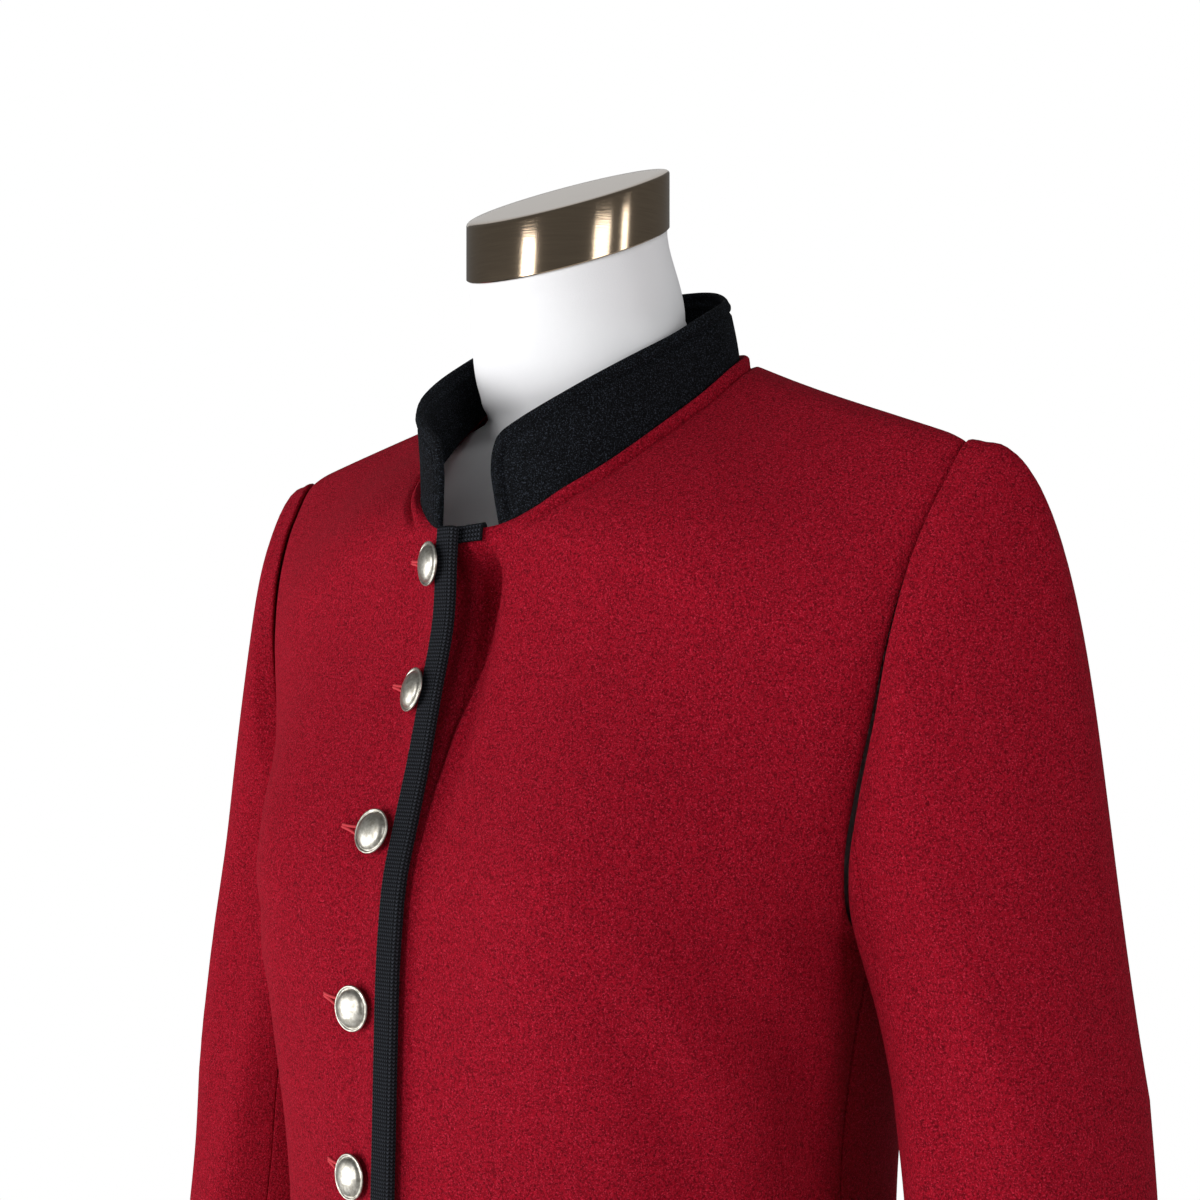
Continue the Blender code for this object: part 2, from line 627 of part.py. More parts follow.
def oval_ring(shape, level, half, front, widest, back, square=2.0, lean=0.0):
    """A ring of the form: an oval from front y to back y, of its half width at widest."""
    ring = []
    for k in range(FORM_SIDES):
        angle = 2 * math.pi * k / FORM_SIDES
        c, s = math.cos(angle), math.sin(angle)
        x = half * math.copysign(abs(c) ** (2 / square), c)
        y = widest + ((back - widest) if s > 0 else (front - widest)) * abs(s) ** (2 / square)
        ring.append(shape.verts.new(to_world((x, y, level + lean * (y - CAP_Y)))))
    return ring


def lofted(name, rings_of, material):
    """A closed solid through rings of vertices, capped at both ends."""
    shape = bmesh.new()
    rings = rings_of(shape)
    for low, high in zip(rings, rings[1:]):
        for k in range(len(low)):
            n = (k + 1) % len(low)
            shape.faces.new((low[k], low[n], high[n], high[k]))
    shape.faces.new(rings[0][::-1])
    shape.faces.new(rings[-1])
    mesh = bpy.data.meshes.new(name)
    shape.to_mesh(mesh)
    shape.free()
    return new_object(name, mesh, material)


def cap_slope():
    return math.tan(math.radians(CAP_TILT))


def cap_ring(shape, level, inset, lean):
    depth = CAP_HALF_DEPTH - inset
    return oval_ring(shape, level, CAP_HALF_WIDTH - inset, CAP_Y - depth, CAP_Y, CAP_Y + depth, lean=lean)


def form_rings(shape):
    rings = [oval_ring(shape, *row) for row in FORM]
    for share in (0.5, 1.0):
        level = FORM[-1][0] + (CAP_LEVEL - LAY_GAP - FORM[-1][0]) * share
        rings.append(cap_ring(shape, level, 1.5, cap_slope() * share))
    return rings


def cap_rings(shape):
    sections = [(0.0, 0.0), (CAP_HEIGHT - 2.5, 0.0), (CAP_HEIGHT - 0.8, 0.8), (CAP_HEIGHT, 2.6)]
    return [cap_ring(shape, CAP_LEVEL + rise, inset, cap_slope()) for rise, inset in sections]


def build_stand(iron):
    floor = -NECK_HEIGHT
    pole_top = FORM[0][0] - SEAM_GAP
    height = pole_top - floor
    bpy.ops.mesh.primitive_cylinder_add(vertices=24, radius=POLE_RADIUS * MM,
                                        depth=(height - HUB_HEIGHT - SEAM_GAP) * MM)
    pole = bpy.context.active_object
    pole.name = "pole"
    pole.location.z = (HUB_HEIGHT + SEAM_GAP + height) / 2 * MM
    move_to_parts(pole, iron)
    profile = [(0.0, HUB_HEIGHT), (HUB_RADIUS - 3, HUB_HEIGHT), (HUB_RADIUS, HUB_HEIGHT - 3),
               (HUB_RADIUS, BASE_THICK + 6), (HUB_RADIUS + 6, BASE_THICK), (BASE_RADIUS - 4, BASE_THICK),
               (BASE_RADIUS, BASE_THICK - 4), (BASE_RADIUS, 0.0), (0.0, 0.0)]
    turned("base", profile, 48, iron)


def move_to_parts(part, material):
    for collection in list(part.users_collection):
        collection.objects.unlink(part)
    parts.objects.link(part)
    part.data.materials.append(material)
    part.data.shade_smooth()
    part.data.set_sharp_from_angle(angle=math.radians(40))


def build_fronts(wool):
    rows, side = len(FRONT_WAYS) - 1, len(NEAR_COLUMNS + FAR_COLUMNS) - 1
    for name, right in (("front_left", False), ("front_right", True)):
        grid = front_grid(right)
        seam_edges(grid, side, rows, FRONT_WAYS.index(1.0))
        cloth(name, grid, wool, flip=right)


def build_back(wool):
    grid = back_grid()
    seam_edges(grid, len(BACK_COLUMNS) - 1, len(BACK_WAYS) - 1, BACK_WAYS.index(1.0))
    cloth("back", grid, wool, flip=True, mirror=True)


def build_sleeves(wool):
    turns = sleeve_turns()
    front = turns.index(FRONT_SEAM_TURN)
    back = turns.index(BACK_SEAM_TURN)
    upper = turns[back:] + turns[:front + 1]
    under = turns[front:back + 1]
    for side, sign in (("left", 1.0), ("right", -1.0)):
        for name, columns in (("sleeve_upper_", upper), ("sleeve_under_", under)):
            grid = {}
            for i, way in enumerate(SLEEVE_WAYS):
                for j, turn in enumerate(columns):
                    grid[i, j] = sleeve_point(way, turn)
            last = len(columns) - 1
            for i, way in enumerate(SLEEVE_WAYS):
                amount = SLEEVE_SEAM_DRAW if way > 0.2 else SLEEVE_HEAD_DRAW
                draw_in(grid, [(i, 0)], (0, 1), amount)
                draw_in(grid, [(i, last)], (0, -1), amount)
            grid = {key: point * np.array([sign, 1.0, 1.0]) for key, point in grid.items()}
            cloth(name + side, grid, wool, flip=sign < 0)


for leftover in list(bpy.data.objects):
    bpy.data.objects.remove(leftover)

parts = bpy.data.collections.new("jacket_on_dress_form")
bpy.context.scene.collection.children.link(parts)

red_wool = principled("boiled wool, red", (0.28, 0.008, 0.014), 0.95)
black_wool = principled("boiled wool, black", (0.012, 0.013, 0.015), 0.95)
black_braid = principled("knitted wool braid, black", (0.014, 0.015, 0.018), 0.9)
old_silver = principled("antique silver", (0.55, 0.54, 0.5), 0.35, 1.0)
white_jersey = principled("cotton jersey, white", (0.85, 0.85, 0.86), 0.9)
brushed_nickel = principled("brushed nickel", (0.42, 0.37, 0.3), 0.3, 1.0)
black_iron = principled("powder-coated steel, black", (0.03, 0.03, 0.032), 0.5)

build_fronts(red_wool)
build_back(red_wool)
build_sleeves(red_wool)
cloth("collar", collar_grid(), black_wool, wall=COLLAR_WALL, flip=True)
build_front_binding(black_braid)
build_neck_binding(black_braid)
build_buttons(old_silver)
lofted("form_torso", form_rings, white_jersey)
lofted("neck_cap", cap_rings, brushed_nickel)
build_stand(black_iron)
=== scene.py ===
import math

import bmesh
import bpy
import numpy as np
from mathutils import Matrix, Vector


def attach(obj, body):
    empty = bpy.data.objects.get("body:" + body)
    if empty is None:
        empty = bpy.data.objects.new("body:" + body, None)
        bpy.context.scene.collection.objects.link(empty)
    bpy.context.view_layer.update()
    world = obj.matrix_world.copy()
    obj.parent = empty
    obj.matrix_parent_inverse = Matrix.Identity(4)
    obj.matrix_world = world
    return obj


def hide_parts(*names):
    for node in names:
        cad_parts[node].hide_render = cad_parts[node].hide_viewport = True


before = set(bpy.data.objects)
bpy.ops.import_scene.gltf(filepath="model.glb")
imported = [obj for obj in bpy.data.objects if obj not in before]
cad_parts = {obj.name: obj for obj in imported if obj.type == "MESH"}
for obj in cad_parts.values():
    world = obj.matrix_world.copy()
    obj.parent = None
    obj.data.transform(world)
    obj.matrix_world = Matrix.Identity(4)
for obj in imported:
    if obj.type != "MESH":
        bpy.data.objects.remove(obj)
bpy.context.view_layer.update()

MM = 0.001
NECK_HEIGHT = 1360.0

# Cloth
WALL = 2.0
COLLAR_WALL = 3.2
LAY_GAP = 0.3

ARMHOLE_GAP = 0.1
UNDERARM_GAP = 0.5

# Closing: the right front ends at the middle (x = 0) and the left front runs on below it
LEFT_EDGE = -32.0
LAP_LIFT = 3.1
EDGE_LIFT = 1.7
NECK_LIFT = 1.9
BINDING_WIDTH = 9.0
BINDING_THICK = 1.2
CLOSING_RIDGE = 5.0
RIDGE_SPREAD = 16.0
# The left front sinks in beside the lapped edge
VALLEY_DEPTH = 8.5
VALLEY_SIDE = 11.0
VALLEY_SPREAD = 9.0

# Buttons on the right front: level, how far each is set back from its edge
BUTTONS = [(-92, 11.8), (-148, 12.6), (-209, 19.7), (-284, 22.5), (-356, 22.5), (-428, 22.5),
           (-500, 22.5), (-572, 22.5)]

# Collar
COLLAR_HEIGHT = 39.0
COLLAR_HEIGHT_SIDE = 27.5
COLLAR_HEIGHT_BACK = 32.0
COLLAR_LEAN_LEFT = 4.0
COLLAR_LEAN_RIGHT = -1.0
COLLAR_LEAN_BACK = 9.0
COLLAR_END_LEFT = 17.0
COLLAR_END_RIGHT = -12.0
COLLAR_CORNER = 19.0
COLLAR_TILT = 0.75

# Fullness of the front over the bust of a general figure
BUST_SIDE = 86.0
BUST_LEVEL = -218.0
BUST_DEPTH = 19.0
BUST_SPREAD = 52.0
BUST_ABOVE = 70.0
BUST_BELOW = 95.0

# Centre of the cloth, hem to neck: level, y
CENTRE_FRONT = [(-600, -128), (-530, -125), (-460, -122), (-400, -119), (-345, -117), (-300, -115),
                (-255, -112), (-226, -108), (-205, -102), (-175, -92), (-147, -84), (-110, -76),
                (-78, -73)]
CENTRE_BACK = [(-600, 122), (-530, 116), (-460, 107), (-400, 101), (-345, 99), (-300, 101),
               (-250, 104), (-200, 106), (-150, 105), (-100, 100), (-50, 89), (-15, 77), (10, 70)]
# Side seam, hem to underarm: level, half width, y
SIDE_SEAM = [(-600, 176, 2), (-530, 165, 2), (-460, 152, 3), (-400, 145, 4), (-345, 144, 5),
             (-300, 150, 5), (-250, 161, 5)]
# Neckline from the centre front round to the centre back: x, y, level
NECKLINE = [(0, -73, -78), (19, -71.5, -75), (38, -62, -64), (52, -47, -52), (60, -31, -40),
            (65, -14, -28), (68.5, 4, -16), (69.5, 22, -4), (62, 40, 3), (48, 55, 7),
            (27, 66, 9), (0, 70, 10)]
NECK_SIDE = 7
# Armhole from the shoulder tip down the front, round the underarm and up the back
ARMHOLE = [(203, 12, -43), (200, -6, -64), (195, -19, -90), (189, -27, -124), (183, -29, -157),
           (176, -30, -190), (170, -28, -218), (164, -16, -241), (161, 5, -250),
           (166, 28, -240), (173, 45, -208), (180, 51, -170), (187, 50, -135), (194, 44, -100),
           (200, 31, -68)]
UNDERARM = 8
# Sleeve tube below the armhole: level, centre x, centre y, radius across, front to back
SLEEVE = [(-592, 246, -8, 38.5, 41), (-520, 241, 3, 43, 45), (-450, 234, 13, 47, 48),
          (-400, 229, 18, 49, 50), (-350, 225, 20, 50, 51), (-310, 219, 23, 51, 52)]
SLEEVE_SPREAD = -0.19
FRONT_SEAM_TURN = 129.6
BACK_SEAM_TURN = 252.0
# Sleeve head, by turn from the top over the front: the cloth's way out of the seam
# (x, y, up), how far it keeps it, and the share of the drop that hangs straight
SLEEVE_HEAD = [(0, 1.0, 0.13, 0.06, 50, 0.57), (45, 0.85, -0.34, -0.05, 18, 0.56),
               (90, 0.6, -0.6, -0.4, 24, 0.5), (135, 0.3, -0.4, -0.8, 16, 0.4),
               (180, 0.12, 0.0, -1.0, 8, 0.3), (225, 0.3, 0.4, -0.8, 18, 0.4),
               (270, 0.6, 0.65, -0.35, 34, 0.5), (315, 0.85, 0.62, 0.18, 43, 0.61),
               (360, 1.0, 0.13, 0.06, 50, 0.57)]
# Dress form: level, half width, y of the front, of the widest place and of the back, and
# the squareness of the section
FORM = [(-665, 140, -96, -2, 92, 2.2), (-655, 156, -110, -2, 105, 2.2), (-630, 165, -117, -2, 112, 2.2),
        (-600, 166, -118, -3, 111, 2.2), (-530, 152, -114, -5, 103, 2.2), (-460, 136, -109, -9, 91, 2.2),
        (-400, 127, -102, -9, 83, 2.2), (-345, 128, -99, -7, 84, 2.2), (-300, 136, -101, -6, 89, 2.2),
        (-255, 149, -103, -4, 94, 2.2), (-215, 155, -98, 0, 97, 2.2), (-180, 161, -85, 6, 97, 2.2),
        (-140, 169, -72, 11, 95, 2.2), (-105, 176, -59, 14, 87, 2.2), (-80, 180, -48, 13, 75, 2.1),
        (-64, 183, -40, 13, 66, 1.8), (-52, 185, -35, 13, 60, 1.4), (-40.5, 181, -30, 13, 54, 1.2),
        (-30, 130, -28, 16, 52, 1.1), (-22, 74, -32, 12, 54, 1.3), (-14, 59, -38, 5, 55, 1.8),
        (-5, 56, -43, 4, 56, 2.0), (8, 54, -47, 0, 54, 2.0), (22, 50, -50, -3, 48, 2.0)]
# Oblique metal neck cap
CAP_Y = -9.5
CAP_LEVEL = 53.0
CAP_TILT = 22.0
CAP_HEIGHT = 27.0
CAP_HALF_WIDTH = 48.4
CAP_HALF_DEPTH = 45.5

# Rows of a front or back, "way" 0 at the hem, 1 at the underarm, 2 at the shoulder.
# Columns: way, reach of the row's curve at the centre, reach at the side, turn of its
# side end from straight back in degrees, rise at the centre, rise at the side
FRONT_ROWS = [(0.0, 105, 76, 0, 0, 0), (0.5, 92, 68, 0, 0, 0), (1.0, 100, 74, 0, 0, 0),
              (1.15, 98, 66, 22, 0, 0), (1.35, 92, 62, 40, 0, 0), (1.55, 78, 56, 50, 0, 2),
              (1.7, 62, 52, 60, 0, 6), (1.85, 48, 46, 76, -5, 9), (2.0, 44, 44, 90, 0, 0)]
BACK_ROWS = [(0.0, 108, 88, 0, 0, 0), (0.5, 98, 84, 0, 0, 0), (1.0, 104, 76, 0, 0, 0),
             (1.2, 104, 58, 25, 0, 0), (1.45, 98, 50, 42, 0, 0), (1.7, 78, 46, 58, 4, 6),
             (1.88, 50, 44, 78, -8, 11), (2.0, 44, 44, 90, 0, 0)]
# The way at which the centre line meets the neckline
FRONT_TURN = 1.54
BACK_TURN = 1.82


class Line:
    """Smooth line through a short list of points, read at t from 0 to 1."""

    def __init__(self, points, closed=False):
        points = np.array(points, float)
        if closed:
            points = np.vstack((points, points[:1]))
        lengths = np.linalg.norm(np.diff(points, axis=0), axis=1)
        self.points = points
        self.knots = np.concatenate(([0.0], np.cumsum(lengths))) / lengths.sum()
        self.slopes = np.gradient(points, self.knots, axis=0)
        if closed:
            before = (points[-1] - points[-2]) / (self.knots[-1] - self.knots[-2])
            after = (points[1] - points[0]) / self.knots[1]
            self.slopes[0] = self.slopes[-1] = (before + after) / 2

    def at(self, t):
        i = int(np.clip(np.searchsorted(self.knots, t) - 1, 0, len(self.knots) - 2))
        return cubic(self.knots[i:i + 2], self.points[i:i + 2], self.slopes[i:i + 2], t)


def cubic(knots, values, slopes, t):
    span = knots[1] - knots[0]
    u = (t - knots[0]) / span
    rise = u * u * (3 - 2 * u)
    leave = u * (1 - u) ** 2 * span
    arrive = u * u * (u - 1) * span
    return values[0] * (1 - rise) + values[1] * rise + slopes[0] * leave + slopes[1] * arrive


def row_of(table, key):
    """The columns of a table after its first, read smoothly at a value of the first."""
    table = np.array(table, float)
    keys, values = table[:, 0], table[:, 1:]
    i = int(np.clip(np.searchsorted(keys, key) - 1, 0, len(keys) - 2))
    slopes = np.gradient(values, keys, axis=0)
    return cubic(keys[i:i + 2], values[i:i + 2], slopes[i:i + 2], key)


def ease(value, low, high):
    """0 below low, 1 above high, smooth between."""
    u = np.clip((value - low) / (high - low), 0.0, 1.0)
    return u * u * (3 - 2 * u)


NECK_LINE = Line(NECKLINE)
ARMHOLE_LINE = Line(ARMHOLE, closed=True)
NECK_SIDE_AT = NECK_LINE.knots[NECK_SIDE]
UNDERARM_AT = ARMHOLE_LINE.knots[UNDERARM]


def fullness(x, level):
    """How far the bust and the lapped closing push the front forward."""
    spread = np.where(level > BUST_LEVEL, BUST_ABOVE, BUST_BELOW)
    up = np.exp(-((level - BUST_LEVEL) / spread) ** 2)
    left = np.exp(-((x - BUST_SIDE) / BUST_SPREAD) ** 2)
    right = np.exp(-((x + BUST_SIDE) / BUST_SPREAD) ** 2)
    ridge = CLOSING_RIDGE * np.exp(-(x / RIDGE_SPREAD) ** 2) * ease(level, -215, -140)
    return BUST_DEPTH * up * (left + right) + ridge


def lap_lift(x, level):
    """How far the right front stands forward where it lies over the left."""
    lap = LAP_LIFT * ease(x, LEFT_EDGE - 40, LEFT_EDGE - 4)
    edge = EDGE_LIFT * ease(x, -BINDING_WIDTH - 14, -BINDING_WIDTH)
    neck = NECK_LIFT * ease(x, LEFT_EDGE - 30, LEFT_EDGE - 2) * ease(level, -125, -88)
    return lap + edge + neck


def valley(x, level):
    """How far the left front sinks in beside the lapped edge, below the neckline."""
    fade = ease(level, -250, -115) * (1.0 - ease(level, -100, -84))
    return VALLEY_DEPTH * fade * np.exp(-((x - VALLEY_SIDE) / VALLEY_SPREAD) ** 2)


def inner_point(way, front):
    """The centre line up to the neckline, then the neckline up to the shoulder."""
    profile = CENTRE_FRONT if front else CENTRE_BACK
    turn = FRONT_TURN if front else BACK_TURN
    bottom, underarm, top = SIDE_SEAM[0][0], SIDE_SEAM[-1][0], profile[-1][0]
    if way > turn:
        start = 0.0 if front else 1.0
        return NECK_LINE.at(start + (NECK_SIDE_AT - start) * (way - turn) / (2.0 - turn))
    if way > 1.0:
        level = underarm + (top - underarm) * (way - 1.0) / (turn - 1.0)
    else:
        level = bottom + (underarm - bottom) * way
    return np.array([0.0, row_of(profile, level)[0], level])


def outer_point(way, front):
    """The side seam up to the underarm, then the armhole up to the shoulder."""
    if way <= 1.0:
        level = SIDE_SEAM[0][0] + (SIDE_SEAM[-1][0] - SIDE_SEAM[0][0]) * way
        half, y = row_of(SIDE_SEAM, level)
        return np.array([half, y, level])
    end = 0.0 if front else 1.0
    return ARMHOLE_LINE.at(UNDERARM_AT + (end - UNDERARM_AT) * (way - 1.0))


def bezier(u, curve):
    """Points at u from 0 to 1 of the curve that four points shape."""
    weights = ((1 - u) ** 3, 3 * u * (1 - u) ** 2, 3 * u * u * (1 - u), u ** 3)
    return sum(w * p for w, p in zip(weights, curve))


def row_curve(way, front):
    """The four points that shape a row of a front or back, from its centre to its side."""
    inner, outer = inner_point(way, front), outer_point(way, front)
    reach_in, reach_out, turned, rise_in, rise_out = row_of(FRONT_ROWS if front else BACK_ROWS, way)
    angle = math.radians(turned)
    leave = inner + np.array([reach_in, 0.0, rise_in])
    back = -math.cos(angle) if front else math.cos(angle)
    arrive = outer + np.array([-reach_out * math.sin(angle), reach_out * back, rise_out])
    slope = (outer - inner) / (outer[0] - inner[0]) * ease(way, 1.8, 2.0)
    leave[1:] += slope[1:] * reach_in
    arrive[1:] -= slope[1:] * reach_out
    return inner, leave, arrive, outer


def body_row(way, shares, front):
    """Points of the cloth's outer face on the wearer's left, for shares of a row from 0 at
    the centre to 1 at the side. Shares below 0 are past the centre."""
    shares = np.asarray(shares, float)
    points = bezier(np.abs(shares)[:, None], row_curve(way, front))
    if front:
        points[:, 1] -= fullness(points[:, 0], points[:, 2]) * (1.0 - ease(way, 1.75, 2.0))
    points[:, 0] *= np.where(shares < 0, -1.0, 1.0)
    return points


def front_row(way, shares, right):
    """Points of a front's outer face, on its own side of the body."""
    points = body_row(way, shares, True)
    if right:
        points[:, 0] *= -1.0
        points[:, 1] -= lap_lift(points[:, 0], points[:, 2])
    else:
        points[:, 1] += valley(points[:, 0], points[:, 2])
    return points


def shares_at(way, xs):
    """The shares of a front's row at which it is xs away from the centre."""
    samples = np.linspace(0.0, 1.0, 400)
    return np.sign(xs) * np.interp(np.abs(xs), body_row(way, samples, True)[:, 0], samples)


def sleeve_start(turn):
    """Armhole point at a turn of the sleeve: 0 is its top, 90 its front, 180 its underarm."""
    if turn <= 180.0:
        return ARMHOLE_LINE.at(UNDERARM_AT * turn / 180.0)
    return ARMHOLE_LINE.at(UNDERARM_AT + (1.0 - UNDERARM_AT) * (turn / 180.0 - 1.0))


def sleeve_point(way, turn):
    """Outer face of the left sleeve. way is 0 at the armhole, 1 below it, 2 at the cuff."""
    angle = math.radians(turn)
    level = SLEEVE[-1][0] + (SLEEVE[0][0] - SLEEVE[-1][0]) * max(way - 1.0, 0.0)
    x, y, across, depth = row_of(SLEEVE, level)
    tube = np.array([x + across * math.cos(angle), y - depth * math.sin(angle), level])
    if way >= 1.0:
        return tube
    out_x, out_y, out_up, reach, hang = row_of(SLEEVE_HEAD, turn % 360.0)
    out = np.array([out_x, out_y, out_up])
    out = out / np.linalg.norm(out)
    start = sleeve_start(turn) + out * ARMHOLE_GAP
    start[0] += UNDERARM_GAP * math.sin(angle / 2) ** 4
    drop = start[2] - tube[2]
    leave = start + out * reach
    arrive = tube + np.array([SLEEVE_SPREAD, 0.0, 1.0]) * drop * hang
    return bezier(way, (start, leave, arrive, tube))


def way_at(level):
    """The front's row whose centre lies at a level."""
    underarm = SIDE_SEAM[-1][0]
    if level <= underarm:
        return (level - SIDE_SEAM[0][0]) / (underarm - SIDE_SEAM[0][0])
    return 1.0 + (level - underarm) / (CENTRE_FRONT[-1][0] - underarm) * (FRONT_TURN - 1.0)


def to_world(point):
    """A point in the script's millimetres, in the frame's metres."""
    return Vector((point[0] * MM, point[1] * MM, (point[2] + NECK_HEIGHT) * MM))


def cap_slope():
    """How far the cap's seat rises for each millimetre further back."""
    return math.tan(math.radians(CAP_TILT))


def slope(points, axis):
    """Step between neighbouring points of a grid, where missing points are nan."""
    ahead = np.full_like(points, np.nan)
    behind = np.full_like(points, np.nan)
    step = np.diff(points, axis=axis)
    if axis == 0:
        ahead[:-1], behind[1:] = step, step
    else:
        ahead[:, :-1], behind[:, 1:] = step, step
    return np.nan_to_num(ahead) + np.nan_to_num(behind)


def outward(points, side):
    """Outward unit normals of a grid. side is 1 or -1, whichever turns them outward."""
    normal = np.cross(slope(points, 1), slope(points, 0)) * side
    return normal / np.maximum(np.linalg.norm(normal, axis=-1, keepdims=True), 1e-9)


def distance(points, line):
    """Distance from each point of a grid to the nearest of a line's points, and how far
    along the line that is, from 0 to 1."""
    line = np.asarray(line)
    flat = points.reshape(-1, 3)
    gaps = np.linalg.norm(flat[:, None, :] - line[None, :, :], axis=-1)
    gaps = np.nan_to_num(gaps, nan=1e6)
    along = gaps.argmin(axis=1) / (len(line) - 1)
    return gaps.min(axis=1).reshape(points.shape[:2]), along.reshape(points.shape[:2])


def dense(corners, count=60):
    """A smooth line through corner points, as count points."""
    line = Line(corners)
    return np.array([line.at(t) for t in np.linspace(0.0, 1.0, count)])


def add_folds(points, side, place, folds):
    """Push a grid in and out along soft folds. Each fold is its height (below 0 a trough),
    its half width, and corners that place() turns into points on the cloth."""
    relief = np.zeros(points.shape[:2])
    for height, width, corners in folds:
        gap, along = distance(points, dense([place(*corner) for corner in corners]))
        taper = np.sin(np.pi * np.clip(along, 0.04, 0.96)) ** 0.8
        relief += height * taper * np.exp(-(gap / width) ** 2)
    return points + outward(points, side) * relief[..., None]


def finish_mesh(name, shape):
    """A mesh of a shape that has been put together point by point."""
    mesh = bpy.data.meshes.new(name)
    shape.to_mesh(mesh)
    shape.free()
    return mesh


def sheet_mesh(name, points, flip):
    """Open surface through a grid of points. Cells with a missing corner stay open."""
    rows, columns = points.shape[:2]
    there = ~np.isnan(points[..., 0])
    shape = bmesh.new()
    verts = {}
    for i in range(rows):
        for j in range(columns):
            if there[i, j]:
                verts[i, j] = shape.verts.new(to_world(points[i, j]))
    for i in range(rows - 1):
        for j in range(columns - 1):
            corners = [(i, j), (i, j + 1), (i + 1, j + 1), (i + 1, j)]
            if all(corner in verts for corner in corners):
                loop = [verts[corner] for corner in corners]
                shape.faces.new(loop[::-1] if flip else loop)
    return finish_mesh(name, shape)


def new_piece(name, mesh, material, nodes):
    """A piece with its material, riding on the body and standing for its nodes, if any."""
    piece = bpy.data.objects.new(name, mesh)
    bpy.context.scene.collection.objects.link(piece)
    mesh.materials.append(material)
    mesh.shade_smooth()
    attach(piece, "root")
    if nodes:
        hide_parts(*nodes)
    return piece


# Width of the bevel that softens a cut edge of the wool
EDGE_ROUND = 0.7


def cloth(name, mesh, material):
    """A piece of red wool: its outer face, given its thickness inwards and soft edges."""
    piece = new_piece("wool_" + name, mesh, material, [name])
    thick = piece.modifiers.new("wall", "SOLIDIFY")
    thick.thickness = WALL * MM
    thick.offset = -1.0
    bevel = piece.modifiers.new("soft edge", "BEVEL")
    bevel.width = EDGE_ROUND * MM
    bevel.segments = 2
    bevel.limit_method = "ANGLE"
    bevel.angle_limit = math.radians(50)
    return piece


# Rows and columns of the fine grids. UNDERARM_ROW is the row at way 1.
UNDERARM_ROW = 60
WAYS_LOW = list(np.linspace(0.0, 1.0, UNDERARM_ROW + 1))
FRONT_WAYS = (WAYS_LOW + list(np.linspace(1.0, FRONT_TURN, 33)[1:])
              + list(np.linspace(FRONT_TURN, 2.0, 37)[1:]))
BACK_WAYS = (WAYS_LOW + list(np.linspace(1.0, BACK_TURN, 41)[1:])
             + list(np.linspace(BACK_TURN, 2.0, 23)[1:]))
NEAR_XS = np.array([0, 1.2, 2.4, 3.6, 4.8, 6, 7.2, 8.4, 9.6, 11, 13, 15.5, 18.5, 22.5, 27, 32, 38, 44,
                    50])
FAR_SHARES = np.concatenate((np.linspace(0.0, 0.94, 30)[1:], [0.965, 0.982, 0.992, 1.0]))
BACK_SHARES = np.concatenate((np.linspace(0.0, 0.09, 10), np.linspace(0.11, 0.96, 36),
                              [0.975, 0.987, 0.995, 1.0]))
MIRROR = np.array([-1.0, 1.0, 1.0])
PAST_LEFT = np.array([-32, -31, -28, -23, -17.5, -12, -8, -5, -2.5])

# Soft folds of the cloth: height, half width, then the corners (way, share of the row)
FOLDS_LEFT = [(-4.6, 12, [(1.14, 0.6), (1.04, 0.64), (0.92, 0.74), (0.8, 0.87), (0.66, 0.94)]),
              (3.2, 11, [(1.0, 0.44), (0.95, 0.51), (0.88, 0.6), (0.8, 0.72)]),
              (-3.6, 12, [(0.97, 0.4), (0.88, 0.49), (0.8, 0.55), (0.68, 0.62), (0.5, 0.6)]),
              (-2.0, 12, [(1.32, 0.93), (1.2, 0.88), (1.08, 0.87), (0.98, 0.93)]),
              (-1.6, 14, [(0.5, 0.3), (0.3, 0.33), (0.05, 0.36)]),
              (1.6, 16, [(0.5, 0.45), (0.28, 0.5), (0.0, 0.52)])]
FOLDS_RIGHT = [(-3.0, 11, [(1.12, 0.63), (1.02, 0.67), (0.9, 0.76), (0.78, 0.86), (0.64, 0.9)]),
               (2.0, 11, [(0.99, 0.5), (0.92, 0.57), (0.83, 0.66)]),
               (-2.4, 12, [(0.93, 0.42), (0.84, 0.5), (0.7, 0.57), (0.52, 0.58)]),
               (-1.8, 12, [(1.3, 0.92), (1.18, 0.88), (1.05, 0.9)]),
               (-1.5, 15, [(0.45, 0.34), (0.25, 0.36), (0.04, 0.4)]),
               (1.5, 15, [(0.48, 0.5), (0.24, 0.53), (0.0, 0.57)])]
FOLDS_BACK = [(-2.6, 13, [(1.28, 0.9), (1.1, 0.82), (0.95, 0.78), (0.75, 0.74)]),
              (2.0, 13, [(1.1, 0.68), (0.94, 0.63), (0.76, 0.6)]),
              (-2.2, 14, [(0.92, 0.5), (0.76, 0.42), (0.6, 0.4)]),
              (-1.6, 18, [(1.62, 0.6), (1.45, 0.66), (1.3, 0.74)])]
FOLDS_BACK_RIGHT = [(-2.3, 14, [(1.25, 0.88), (1.08, 0.8), (0.9, 0.77), (0.72, 0.76)]),
                    (1.8, 13, [(1.06, 0.66), (0.9, 0.6), (0.74, 0.59)]),
                    (-2.0, 15, [(0.9, 0.47), (0.74, 0.4), (0.56, 0.4)]),
                    (-1.4, 18, [(1.58, 0.56), (1.42, 0.64), (1.28, 0.7)])]


